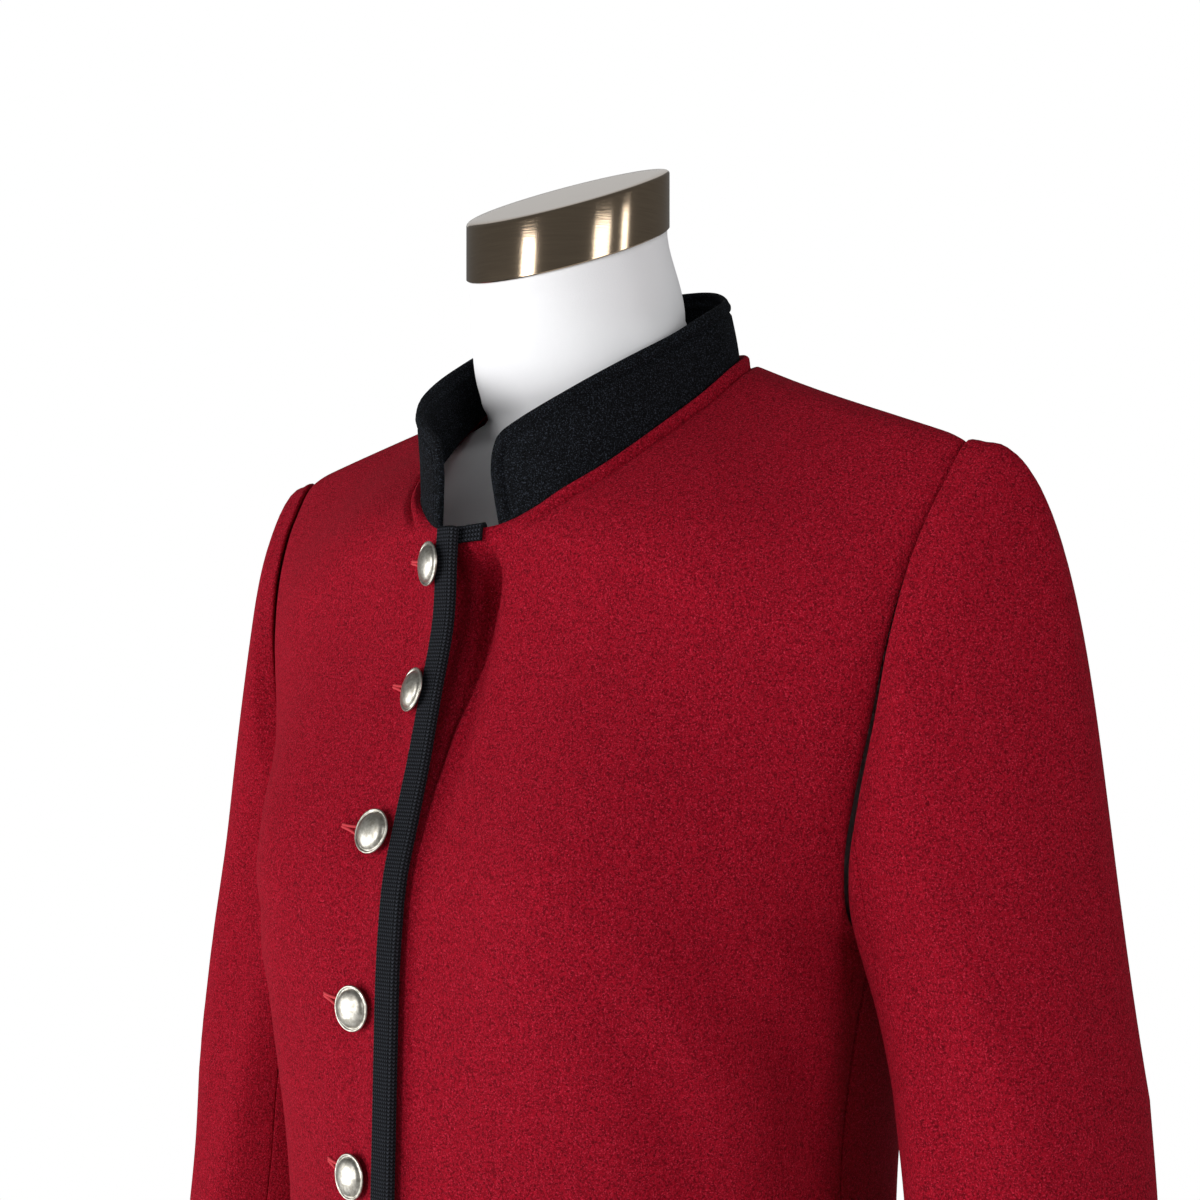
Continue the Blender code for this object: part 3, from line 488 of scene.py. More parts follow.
def front_grid(right):
    """A front's outer face as a grid, and the column at the middle. The left front runs on
    past the middle up to the neckline's start."""
    past = PAST_LEFT[:0] if right else PAST_LEFT
    count = len(past) + len(NEAR_XS) + len(FAR_SHARES)
    points = np.full((len(FRONT_WAYS), count, 3), np.nan)
    for i, way in enumerate(FRONT_WAYS):
        near = shares_at(min(way, FRONT_TURN), NEAR_XS)
        shares = np.concatenate((near, near[-1] + (1 - near[-1]) * FAR_SHARES))
        points[i, len(past):] = front_row(way, shares, right)
        if way <= FRONT_TURN + 1e-9 and not right:
            points[i, :len(past)] = front_row(way, shares_at(way, past), right)
    return points, len(past)


def neck_ridge(points, side, neck):
    """The seam allowance of the neckline, stitched down below the collar."""
    gap, _ = distance(points, neck)
    at_side = ease(np.abs(points[..., 0]), 26, 46)
    relief = 2.4 * np.exp(-((gap - 3.0) / 2.2) ** 2) - 2.6 * np.exp(-((gap - 6.8) / 1.5) ** 2)
    return points + outward(points, side) * (relief * at_side)[..., None]


def armhole_dip(points, side, armhole):
    """The body sinks a little beside the sleeve's fuller head."""
    gap, _ = distance(points, armhole)
    amount = ease(points[..., 2], -250, -190)
    relief = amount * (1.6 * np.exp(-(gap / 8.0) ** 2) + 1.2 * np.exp(-(gap / 1.8) ** 2))
    return points - outward(points, side) * relief[..., None]


# The hollow in the left front beside the lapped edge, by level: where its far wall stands
# and how deep it is. HOLLOW_WALL is half the wall's width.
HOLLOW = [(-215, 3.0, 0.0), (-193, 3.0, 2.0), (-165, 5.0, 6.0), (-136, 10.0, 10.0), (-108, 14.0, 12.0),
          (-94, 15.0, 7.0), (-85, 16.0, 0.0)]
HOLLOW_WALL = 3.0


def build_fronts(wool):
    """Both fronts, with their folds. The left one sinks in where the right one laps over it."""
    turn = FRONT_WAYS.index(FRONT_TURN)
    levels, walls, depths = zip(*HOLLOW)
    pieces = {}
    for name, right, folds in (("front_left", False, FOLDS_LEFT), ("front_right", True, FOLDS_RIGHT)):
        points, first = front_grid(right)
        side = -1.0 if right else 1.0

        def place(way, share):
            return front_row(way, [share], right)[0]

        neck = points[turn:, first]
        armhole = points[UNDERARM_ROW:, -1]
        points = add_folds(points, side, place, folds)
        points = neck_ridge(points, side, neck)
        points = armhole_dip(points, side, armhole)
        if not right:
            x, level = points[..., 0], points[..., 2]
            wall = np.interp(level, levels, walls)
            depth = np.interp(level, levels, depths) * ease(x, -26.0, -8.0)
            points[..., 1] += depth * (1.0 - ease(x, wall - HOLLOW_WALL, wall + HOLLOW_WALL))
        pieces[name] = cloth(name, sheet_mesh(name, points, right), wool)
    return pieces


def build_back(wool):
    """The back, as two halves that join along the centre line up to the neckline."""
    half = np.array([body_row(way, BACK_SHARES, False) for way in BACK_WAYS])
    turn = BACK_WAYS.index(BACK_TURN)
    halves = []
    for side, mirror, folds in ((-1.0, np.ones(3), FOLDS_BACK), (1.0, MIRROR, FOLDS_BACK_RIGHT)):

        def place(way, share):
            return body_row(way, [share], False)[0] * mirror

        grid = add_folds(half * mirror, side, place, folds)
        grid = neck_ridge(grid, side, grid[turn:, 0])
        grid = armhole_dip(grid, side, grid[UNDERARM_ROW:, -1])
        halves.append(grid)
    seam = (halves[0][:turn + 1, 0] + halves[1][:turn + 1, 0]) / 2
    for grid in halves:
        grid[:turn + 1, 0] = seam
    mesh = sheet_mesh("wool_back", halves[0], True)
    other = sheet_mesh("other_half", halves[1], False)
    shape = bmesh.new()
    shape.from_mesh(mesh)
    shape.from_mesh(other)
    bmesh.ops.remove_doubles(shape, verts=shape.verts[:], dist=0.02 * MM)
    shape.to_mesh(mesh)
    shape.free()
    bpy.data.meshes.remove(other)
    return cloth("back", mesh, wool)


# Folds of the sleeves: height, half width, then corners (way down the sleeve, turn)
SLEEVE_FOLDS_LEFT = [(-2.6, 12, [(0.35, 96), (0.62, 84), (0.9, 66), (1.1, 50)]),
                     (2.0, 12, [(0.6, 100), (0.95, 92), (1.25, 80)]),
                     (-2.6, 11, [(0.75, 118), (1.05, 112), (1.4, 100), (1.7, 84)]),
                     (-2.2, 13, [(0.5, 250), (0.85, 262), (1.15, 285)]),
                     (2.0, 12, [(1.2, 240), (1.35, 262), (1.5, 290)]),
                     (-2.4, 11, [(1.3, 215), (1.45, 245), (1.62, 275)]),
                     (1.6, 14, [(0.4, 20), (0.9, 12), (1.5, 26)])]
SLEEVE_FOLDS_RIGHT = [(-2.4, 12, [(0.4, 92), (0.66, 80), (0.95, 60), (1.15, 44)]),
                      (2.0, 12, [(0.66, 104), (1.0, 94), (1.3, 84)]),
                      (-2.4, 12, [(0.8, 120), (1.1, 110), (1.45, 98), (1.75, 80)]),
                      (-2.0, 13, [(0.55, 246), (0.9, 260), (1.2, 288)]),
                      (1.8, 13, [(1.16, 236), (1.32, 260), (1.48, 284)]),
                      (-2.2, 12, [(1.34, 214), (1.5, 240), (1.66, 270)]),
                      (1.5, 14, [(0.45, 24), (0.95, 10), (1.45, 20)])]


def build_sleeves(wool):
    """Upper and under sleeve of each arm, which sink in a little along the armhole's seam."""
    ways = np.concatenate((np.linspace(0.0, 1.0, 41), np.linspace(1.0, 2.0, 57)[1:]))
    steps = {"upper": np.linspace(BACK_SEAM_TURN, 360.0 + FRONT_SEAM_TURN, 85),
             "under": np.linspace(FRONT_SEAM_TURN, BACK_SEAM_TURN, 57)}
    pieces = []
    for side, sign, folds in (("left", 1.0, SLEEVE_FOLDS_LEFT), ("right", -1.0, SLEEVE_FOLDS_RIGHT)):
        for kind, turns in steps.items():
            points = np.array([[sleeve_point(way, turn % 360.0) for turn in turns] for way in ways])
            points = add_folds(points, -1.0, sleeve_point, folds)
            gap, _ = distance(points, points[0])
            head = 1.3 * ease(points[..., 2], -215, -150)
            points = points - outward(points, 1.0) * (head * np.exp(-((gap - 7.0) / 5.0) ** 2))[..., None]
            points[..., 0] *= sign
            name = "sleeve_%s_%s" % (kind, side)
            pieces.append(cloth(name, sheet_mesh(name, points, sign < 0), wool))
    return pieces


def neckline_path(step):
    """The body's neckline from the right front's corner round the back to the left's."""
    front_ways = np.arange(FRONT_TURN, 2.0 + step / 2, step)
    back_ways = np.arange(BACK_TURN, 2.0 + step / 4, step / 2)
    right = [front_row(min(way, 2.0), [0.0], True)[0] for way in front_ways]
    back = [body_row(min(way, 2.0), [0.0], False)[0] for way in back_ways]
    left = [front_row(min(way, 2.0), [0.0], False)[0] for way in front_ways]
    mirrored = [point * MIRROR for point in back]
    return np.array(right[:-1] + mirrored[::-1] + back[1:] + left[-2::-1])


def reach_along(path):
    """How far along a path each of its points lies."""
    return np.concatenate(([0.0], np.cumsum(np.linalg.norm(np.diff(path, axis=0), axis=1))))


def at_reach(path, places):
    """The points of a path at distances along it."""
    reach = reach_along(path)
    return np.stack([np.interp(places, reach, path[:, k]) for k in range(3)], axis=-1)


def rolled_shell(name, points, normals, wall):
    """A shell whose outer face is a grid, with a half-round rim along its first and last
    columns and its last row, and a flat lower edge."""
    rows, columns = points.shape[:2]
    loop = [(i, 0) for i in range(rows)] + [(rows - 1, j) for j in range(1, columns)]
    loop += [(i, columns - 1) for i in range(rows - 2, -1, -1)]
    edge = np.array([points[key] for key in loop])
    away = np.array([normals[key] for key in loop])
    beyond = np.cross(away, np.gradient(edge, axis=0))
    beyond /= np.linalg.norm(beyond, axis=1, keepdims=True)
    if beyond[len(loop) // 2, 2] < 0:
        beyond = -beyond
    shape = bmesh.new()
    outer = [[shape.verts.new(to_world(p)) for p in row] for row in points]
    inner = [[shape.verts.new(to_world(p)) for p in row] for row in points - normals * wall]
    rim = []
    for turn in np.radians(np.linspace(22.5, 157.5, 7)):
        ring = edge - away * wall / 2 + (away * math.cos(turn) + beyond * math.sin(turn)) * wall / 2
        rim.append([shape.verts.new(to_world(p)) for p in ring])
    for i in range(rows - 1):
        for j in range(columns - 1):
            for face in (outer, inner):
                shape.faces.new((face[i][j], face[i][j + 1], face[i + 1][j + 1], face[i + 1][j]))
    bands = [[outer[i][j] for i, j in loop]] + rim + [[inner[i][j] for i, j in loop]]
    for low, high in zip(bands, bands[1:]):
        for k in range(len(loop) - 1):
            shape.faces.new((low[k], low[k + 1], high[k + 1], high[k]))
    for j in range(columns - 1):
        shape.faces.new((outer[0][j], outer[0][j + 1], inner[0][j + 1], inner[0][j]))
    for k in (0, -1):
        shape.faces.new([band[k] for band in bands])
    bmesh.ops.recalc_face_normals(shape, faces=shape.faces[:])
    return finish_mesh(name, shape)


# Half the length over which the seam's direction is evened out for the collar
SEAM_EVEN = 9


def build_collar(wool):
    """The stand collar, with a rolled rim and a row of stitching sunk in beside it."""
    path = neckline_path(0.02)
    reach = reach_along(path)
    rim = COLLAR_WALL / 2
    corner = COLLAR_CORNER - rim
    start = np.interp(-COLLAR_END_RIGHT, -path[:8, 0], reach[:8]) + rim
    end = np.interp(-COLLAR_END_LEFT, -path[-8:, 0], reach[-8:]) - rim
    near = corner * (1 - np.cos(np.radians(np.linspace(0, 90, 21))))
    middle = np.linspace(start + corner, end - corner, 230)[1:-1]
    places = np.concatenate((start + near, middle, end - near[::-1]))
    base = at_reach(path, places)
    from_end = np.minimum(places - start, end - places)
    spots = np.arange(0.0, reach[-1], 1.0)
    steps = np.gradient(at_reach(path, spots), axis=0)
    padded = np.pad(steps, ((SEAM_EVEN, SEAM_EVEN), (0, 0)), mode="edge")
    even = np.array([padded[k:k + 2 * SEAM_EVEN + 1].mean(axis=0) for k in range(len(spots))])
    along = np.stack([np.interp(places, spots, even[:, k]) for k in range(3)], axis=-1)
    along /= np.linalg.norm(along, axis=1, keepdims=True)
    out = np.cross(np.array([0.0, 0.0, 1.0]), along)
    out /= np.linalg.norm(out, axis=1, keepdims=True)
    up = np.cross(along, out)
    up = up * COLLAR_TILT + np.array([0.0, 0.0, 1.0 - COLLAR_TILT])
    y = base[:, 1]
    lean_front = np.where(base[:, 0] > 0, COLLAR_LEAN_LEFT, COLLAR_LEAN_RIGHT)
    lean = lean_front + (COLLAR_LEAN_BACK - lean_front) * ease(y, -60.0, 60.0)
    height = COLLAR_HEIGHT + (COLLAR_HEIGHT_SIDE - COLLAR_HEIGHT) * ease(y, -62.0, 36.0)
    height += (COLLAR_HEIGHT_BACK - COLLAR_HEIGHT_SIDE) * ease(y, 45.0, 70.0)
    cut = np.clip(corner - from_end, 0.0, corner)
    height -= rim + corner - np.sqrt(corner ** 2 - cut ** 2)
    points, normals = [], []
    for share in np.linspace(0.0, 1.0, 40):
        rise = share * height
        inward = lean * (rise / COLLAR_HEIGHT) ** 1.3
        slant = 1.3 * lean / COLLAR_HEIGHT * (rise / COLLAR_HEIGHT) ** 0.3
        points.append(base + up * rise[:, None] - out * inward[:, None])
        normals.append(out + up * slant[:, None])
    points, normals = np.array(points), np.array(normals)
    normals /= np.linalg.norm(normals, axis=-1, keepdims=True)
    gap, _ = distance(points, np.concatenate((points[:, 0], points[-1], points[:, -1])))
    relief = 0.6 * np.exp(-((gap - 2.0) / 1.7) ** 2) - 1.1 * np.exp(-((gap - 4.8) / 0.8) ** 2)
    relief *= ease(gap, 0.0, 1.2) * ease(points[..., 2] - base[None, :, 2], 1.0, 5.0)
    mesh = rolled_shell("wool_collar", points + normals * relief[..., None], normals, COLLAR_WALL)
    return new_piece("wool_collar", mesh, wool, ["collar"])


def strip(name, sections, material, nodes, around=None):
    """A closed strip lofted through sections, which are closed loops of points. around gives
    each point's place in the section, kept with its distance along as a coordinate."""
    shape = bmesh.new()
    rings = [[shape.verts.new(to_world(p)) for p in section] for section in sections]
    size = len(rings[0])
    for low, high in zip(rings, rings[1:]):
        for k in range(size):
            n = (k + 1) % size
            shape.faces.new((low[k], low[n], high[n], high[k]))
    shape.faces.new(rings[0][::-1])
    shape.faces.new(rings[-1])
    bmesh.ops.recalc_face_normals(shape, faces=shape.faces[:])
    bmesh.ops.triangulate(shape, faces=[f for f in shape.faces if len(f.verts) > 4])
    mesh = finish_mesh(name, shape)
    if around is not None:
        middles = np.array([np.mean(section, axis=0) for section in sections])
        places = [(u, v) for v in reach_along(middles) for u in around]
        mesh.attributes.new("stitch", "FLOAT2", "POINT").data.foreach_set("vector", np.ravel(places))
    return new_piece(name, mesh, material, nodes)


def round_section(count, wales):
    """Where each point of a folded section lies, counted in wales of the braid: count points
    over the cloth, 7 round the edge, every third one behind, and the inner ones."""
    over = list(np.linspace(0.0, wales, count)) + list(wales + 0.5 * np.arange(1, 8))
    behind = [wales + 4.0 + 3.0 * wales / count * k for k in range(len(range(0, count, 3)))]
    return over + behind + [0.0] * (count + 1 + len(behind))


def folded_section(points, normals, beyond, wales):
    """Section of braid folded over an edge: its outer face over the cloth, round the edge,
    and back behind the cloth. points run to the edge."""
    count = len(points)
    near, thick = 0.12, BINDING_THICK
    ribs = 0.28 * np.abs(np.sin(np.pi * wales * np.linspace(0.0, 1.0, count)))
    outer = [p + n * (near + thick + rib) for p, n, rib in zip(points, normals, ribs)]
    inner = [p + n * near for p, n in zip(points, normals)]
    edge, normal = points[-1], normals[-1]
    middle = edge - normal * WALL / 2
    for turn in np.linspace(25.0, 155.0, 7):
        away = beyond * math.sin(math.radians(turn)) + normal * math.cos(math.radians(turn))
        outer.append(middle + away * (WALL / 2 + near + thick + 0.15))
    inner.append(middle + beyond * near)
    for p, n in zip(points[::-1][::3], normals[::-1][::3]):
        outer.append(p - n * (WALL + near + thick))
        inner.append(p - n * (WALL + near))
    return outer + inner[::-1]


# Wales of the knitted braid over the front edge, the points across them, and how far it
# runs up past the neckline
WALES = 8
BRAID_COLUMNS = 49
BRAID_RISE = 2.0
# The braid of the neck: its depth, its wales and points, and where it ends beside the collar
NECK_BRAID_DEPTH = 5.5
NECK_WALES = 3
NECK_COLUMNS = 17
NECK_BRAID_END = 11.0


def build_front_binding(braid):
    """Braid folded over the right front's edge, from the hem to just past the neckline."""
    xs = np.linspace(-BINDING_WIDTH, 0.0, BRAID_COLUMNS)
    sections = []
    for way in np.concatenate((np.linspace(0.0, 1.0, 81), np.linspace(1.0, FRONT_TURN, 49)[1:])):
        shares = shares_at(way, -xs)
        points = front_row(way, shares, True)
        up = front_row(way + 0.01, shares, True) - front_row(max(way - 0.01, 0.0), shares, True)
        along = np.gradient(points, axis=0)
        normals = np.cross(along, up)
        normals /= np.linalg.norm(normals, axis=1, keepdims=True)
        beyond = along[-1] / np.linalg.norm(along[-1])
        sections.append(folded_section(points, normals, beyond, WALES))
    last = np.array(sections[-1])
    lift = last.mean(axis=0) - np.mean(sections[-2], axis=0)
    sections.append(last + lift / np.linalg.norm(lift) * BRAID_RISE)
    return strip("braid_front", sections, braid, ["binding_front"],
                 round_section(BRAID_COLUMNS, WALES))


def build_neck_binding(braid):
    """Braid over the left front's neckline, from the collar's end to the underlap's edge."""
    sections = []
    ways = np.linspace(FRONT_TURN, 1.66, 12)
    neckline = [front_row(way, [0.0], False)[0][0] for way in ways]
    for x in np.linspace(LEFT_EDGE + 1, NECK_BRAID_END, 40):
        if x <= 0:
            way, share = FRONT_TURN, shares_at(FRONT_TURN, np.array([x]))[0]
        else:
            way, share = np.interp(x, neckline, ways), 0.0
        top = front_row(way, [share], False)[0]
        low_way = way_at(top[2] - NECK_BRAID_DEPTH)
        fold = front_row(low_way, shares_at(low_way, np.array([x])), False)[0]
        up = (top - fold) / np.linalg.norm(top - fold)
        side = front_row(low_way, shares_at(low_way, np.array([x + 1.0])), False)[0] - fold
        normal = np.cross(side, up)
        normal /= np.linalg.norm(normal)
        points = [fold + (top - fold) * s + normal * 0.7 for s in np.linspace(0.0, 1.0, NECK_COLUMNS)]
        sections.append(folded_section(points, [normal] * NECK_COLUMNS, up, NECK_WALES))
    return strip("braid_neck", sections, braid, ["binding_neck"],
                 round_section(NECK_COLUMNS, NECK_WALES))


def turned(name, profile, sides):
    """A piece turned about the vertical axis: a disc drawn up and widened ring by ring, from
    a profile of (radius, height) that runs upwards."""
    bpy.ops.object.select_all(action="DESELECT")
    radius, height = profile[0]
    bpy.ops.mesh.primitive_circle_add(vertices=sides, radius=radius * MM, fill_type="NGON")
    piece = bpy.context.active_object
    piece.name = name
    bpy.ops.object.mode_set(mode="EDIT")
    bpy.ops.mesh.select_all(action="SELECT")
    bpy.ops.transform.translate(value=(0.0, 0.0, height * MM))
    for (low_radius, low), (high_radius, high) in zip(profile, profile[1:]):
        bpy.ops.mesh.extrude_region_move(TRANSFORM_OT_translate={"value": (0.0, 0.0, (high - low) * MM)})
        grow = high_radius / low_radius
        bpy.ops.transform.resize(value=(grow, grow, 1.0), center_override=(0.0, 0.0, high * MM))
    bpy.ops.mesh.select_all(action="SELECT")
    bpy.ops.mesh.normals_make_consistent(inside=False)
    bpy.ops.object.mode_set(mode="OBJECT")
    piece.data.shade_smooth()
    return piece


# Buttonholes: where each starts and ends behind its button's middle, how much higher it
# starts, how far its lips part, and the radius of their cord
HOLE_START = 20.5
HOLE_END = 8.0
HOLE_RISE = 3.6
HOLE_SPREAD = 2.2
HOLE_CORD = 0.7
# Height that one unit of way covers near the buttons
WAY_HEIGHT = 330.0


def button_places():
    """Where each button stands on the right front, and the cloth's normal there."""
    places = []
    for level, set_back in BUTTONS:
        way = way_at(level)
        shares = shares_at(way, np.linspace(0.0, 40.0, 161))
        row = front_row(way, shares, True)
        k = int(np.argmin(np.abs(np.linalg.norm(row - row[0], axis=1) - set_back)))
        here = shares[k:k + 1]
        up = front_row(way + 0.01, here, True)[0] - front_row(way - 0.01, here, True)[0]
        along = row[k - 1] - row[k + 1]
        normal = np.cross(along, up)
        places.append((row[k], normal / np.linalg.norm(normal), along / np.linalg.norm(along)))
    return places


def finished(piece, material, nodes):
    """A hard piece with its finish, riding on the body and standing for its nodes."""
    piece.data.materials.append(material)
    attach(piece, "root")
    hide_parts(*nodes)
    return piece


def build_buttons(metal):
    """Shank, flat back, thin rolled rim and a smooth dome, turned once and copied."""
    profile = [(2.7, 0.1), (3.0, 2.0), (5.0, 2.1), (8.6, 2.4), (9.6, 2.75), (10.0, 3.2), (9.95, 3.7),
               (9.6, 4.0), (9.2, 3.9), (8.9, 3.5), (8.6, 3.4)]
    dome = [(8.3 * math.sin(angle), 3.5 + 3.1 * math.cos(angle)) for angle in np.radians(range(81, 0, -9))]
    master = turned("button", profile + dome + [(0.4, 6.6)], 56)
    pieces = []
    for number, (place, normal, _) in enumerate(button_places(), 1):
        piece = bpy.data.objects.new("silver_button_%d" % number, master.data.copy())
        bpy.context.scene.collection.objects.link(piece)
        turn = Vector((0, 0, 1)).rotation_difference(Vector(normal)).to_matrix().to_4x4()
        piece.data.transform(Matrix.Translation(to_world(place + normal * LAY_GAP)) @ turn)
        pieces.append(finished(piece, metal, ["button_%d" % number]))
    bpy.data.objects.remove(master)
    return pieces


def cord(name, path, radius, material, sides=8):
    """A cord of round section along a path, narrower at its closed ends."""
    path = np.asarray(path)
    sections = []
    along = np.gradient(path, axis=0)
    first = np.cross(along[0], np.array([0.0, 0.0, 1.0]))
    for k, (point, way) in enumerate(zip(path, along)):
        way = way / np.linalg.norm(way)
        across = first - way * np.dot(first, way)
        across /= np.linalg.norm(across)
        other = np.cross(way, across)
        size = radius * (0.45 if k in (0, len(path) - 1) else 1.0)
        sections.append([point + (across * math.cos(t) + other * math.sin(t)) * size
                         for t in np.linspace(0, 2 * math.pi, sides, endpoint=False)])
        first = across
    return strip(name, sections, material, [])


def build_buttonholes(thread):
    """Each buttonhole shows as two corded lips that part towards its button."""
    pieces = []
    for number, (place, normal, along) in enumerate(button_places(), 1):
        way = way_at(BUTTONS[number - 1][0])
        shares = shares_at(way, np.linspace(0.0, 70.0, 281))
        row = front_row(way, shares, True)
        gone = np.linalg.norm(row - place, axis=1) * np.sign(place[0] - row[:, 0])
        up = np.cross(normal, along)
        for lip, spread in (("upper", 1.0), ("lower", -1.0)):
            path = []
            for s in np.linspace(0.0, 1.0, 14):
                share = np.interp(HOLE_START - (HOLE_START - HOLE_END) * s, gone, shares)
                rise = HOLE_RISE * (1 - s) + spread * (0.5 + HOLE_SPREAD * s * s)
                on_cloth = front_row(way + rise / WAY_HEIGHT, [share], True)[0]
                path.append(on_cloth + normal * 0.35)
            pieces.append(cord("buttonhole_%s_%d" % (lip, number), path, HOLE_CORD, thread))
    return pieces


def oval(level, half, front, widest, back, square=2.0, lean=0.0, sides=96):
    """Section of the form: a squared oval, which may lean with the cap."""
    ring = []
    for k in range(sides):
        angle = 2 * math.pi * k / sides
        c, s = math.cos(angle), math.sin(angle)
        x = half * math.copysign(abs(c) ** (2 / square), c)
        y = widest + ((back - widest) if s > 0 else (front - widest)) * abs(s) ** (2 / square)
        ring.append(np.array([x, y, level + lean * (y - CAP_Y)]))
    return ring


# How far the form's front keeps back behind the hollow in the left front, and how far the
# cloth of its neck ends inside the cap's edge
FORM_EASE = 8.0
CAP_INSET = 1.2


def build_form(cover, metal):
    """The covered form, drawn up through its sections to the cap's slant, and the cap."""
    bottom, top = FORM[0][0], FORM[-1][0]
    sections = []
    levels = [bottom, bottom + 1, bottom + 3, bottom + 6, bottom + 10]
    levels += list(np.linspace(bottom + 16, -84, 60)) + list(np.linspace(-80, top, 52))
    for level in levels:
        sections.append(oval(level, *row_of(FORM, level)))
    depth = CAP_HALF_DEPTH - CAP_INSET
    low = row_of(FORM, top)
    high = np.array([CAP_HALF_WIDTH - CAP_INSET, CAP_Y - depth, CAP_Y, CAP_Y + depth, 2.0])
    for share in np.linspace(0.1, 1.0, 10):
        level = top + (CAP_LEVEL - 0.2 - top) * share
        blend = ease(share, 0.0, 1.0)
        sections.append(oval(level, *(low * (1 - blend) + high * blend), lean=cap_slope() * share))
    for section in sections:
        for point in section:
            behind = ease(point[2], -290.0, -215.0) * (1.0 - ease(point[2], -108.0, -84.0))
            point[1] += FORM_EASE * behind * ease(-point[1], 20.0, 60.0)
    form = strip("jersey_form", sections, cover, ["form_torso"])
    rise = [(0.5, 0.0), (0.0, 0.5), (0.0, CAP_HEIGHT - 1.6), (0.25, CAP_HEIGHT - 0.9),
            (0.9, CAP_HEIGHT - 0.3), (1.8, CAP_HEIGHT), (8.0, CAP_HEIGHT + 0.05)]
    cap = turned("nickel_cap", [(CAP_HALF_DEPTH - inset, level) for inset, level in rise], 128)
    for vert in cap.data.vertices:
        x, y, z = vert.co / MM
        vert.co = to_world((x * CAP_HALF_WIDTH / CAP_HALF_DEPTH, y + CAP_Y, CAP_LEVEL + z + cap_slope() * y))
    finished(cap, metal, ["neck_cap"])
    cap.data.set_sharp_from_angle(angle=math.radians(30))
    return form, cap


def linear(text):
    """Linear colour of an sRGB hex colour."""
    values = [int(text[k:k + 2], 16) / 255 for k in (1, 3, 5)]
    return tuple(v / 12.92 if v <= 0.04045 else ((v + 0.055) / 1.055) ** 2.4 for v in values) + (1.0,)


def fit(tree, node, **values):
    """Give a node its settings and links. A value is a constant or another node's output, for
    a setting, a socket's name, or i0, i1 and so on for a socket by its number."""
    for key, value in values.items():
        if hasattr(node, key) and key not in node.inputs:
            setattr(node, key, value)
            continue
        numbered = key[0] == "i" and key[1:].isdigit()
        socket = node.inputs[int(key[1:]) if numbered else key.replace("_", " ")]
        if isinstance(value, bpy.types.NodeSocket):
            tree.links.new(value, socket)
        else:
            socket.default_value = value
    return node


def add(tree, kind, **values):
    """One more node of a tree."""
    return fit(tree, tree.nodes.new(kind), **values)


def new_material(name):
    """A material, its nodes and the shader among them."""
    material = bpy.data.materials.new(name)
    material.use_nodes = True
    return material, material.node_tree, material.node_tree.nodes["Principled BSDF"]


def wool(name, dark, middle, light):
    """Boiled wool: felted fibres make a pebbled, matt face with a soft nap. The pebbles are
    about 1 mm wide, the curls of fibre 0.6 mm and the uneven patches 36 mm."""
    material, tree, shader = new_material(name)
    place = add(tree, "ShaderNodeTexCoord").outputs["Object"]
    pebbles = add(tree, "ShaderNodeTexNoise", Vector=place, Scale=950.0, Detail=4.0, Roughness=0.62)
    curls = add(tree, "ShaderNodeTexNoise", Vector=place, Scale=1700.0, Detail=2.0, Roughness=0.6,
                Distortion=0.5)
    broad = add(tree, "ShaderNodeTexNoise", Vector=place, Scale=28.0, Detail=3.0, Roughness=0.5)
    spread = add(tree, "ShaderNodeMapRange", Value=pebbles.outputs["Fac"], From_Min=0.38, From_Max=0.6)
    body = add(tree, "ShaderNodeMix", data_type="RGBA", i0=spread.outputs["Result"], i6=linear(dark),
               i7=linear(middle))
    flecks = add(tree, "ShaderNodeMapRange", Value=curls.outputs["Fac"], From_Min=0.54, From_Max=0.68)
    colour = add(tree, "ShaderNodeMix", data_type="RGBA", i0=flecks.outputs["Result"], i6=body.outputs[2],
                 i7=linear(light))
    uneven = add(tree, "ShaderNodeMapRange", Value=broad.outputs["Fac"], To_Min=0.95, To_Max=1.05)
    tone = add(tree, "ShaderNodeHueSaturation", Color=colour.outputs[2], Value=uneven.outputs["Result"])
    low = add(tree, "ShaderNodeBump", Height=pebbles.outputs["Fac"], Strength=0.9, Distance=0.0014)
    high = add(tree, "ShaderNodeBump", Height=curls.outputs["Fac"], Normal=low.outputs["Normal"],
               Strength=0.6, Distance=0.0008)
    fit(tree, shader, Base_Color=tone.outputs["Color"], Normal=high.outputs["Normal"], Roughness=0.95,
        Specular_IOR_Level=0.08)
    return material


# Millimetres from one stitch of the braid to the next
STITCH = 1.6


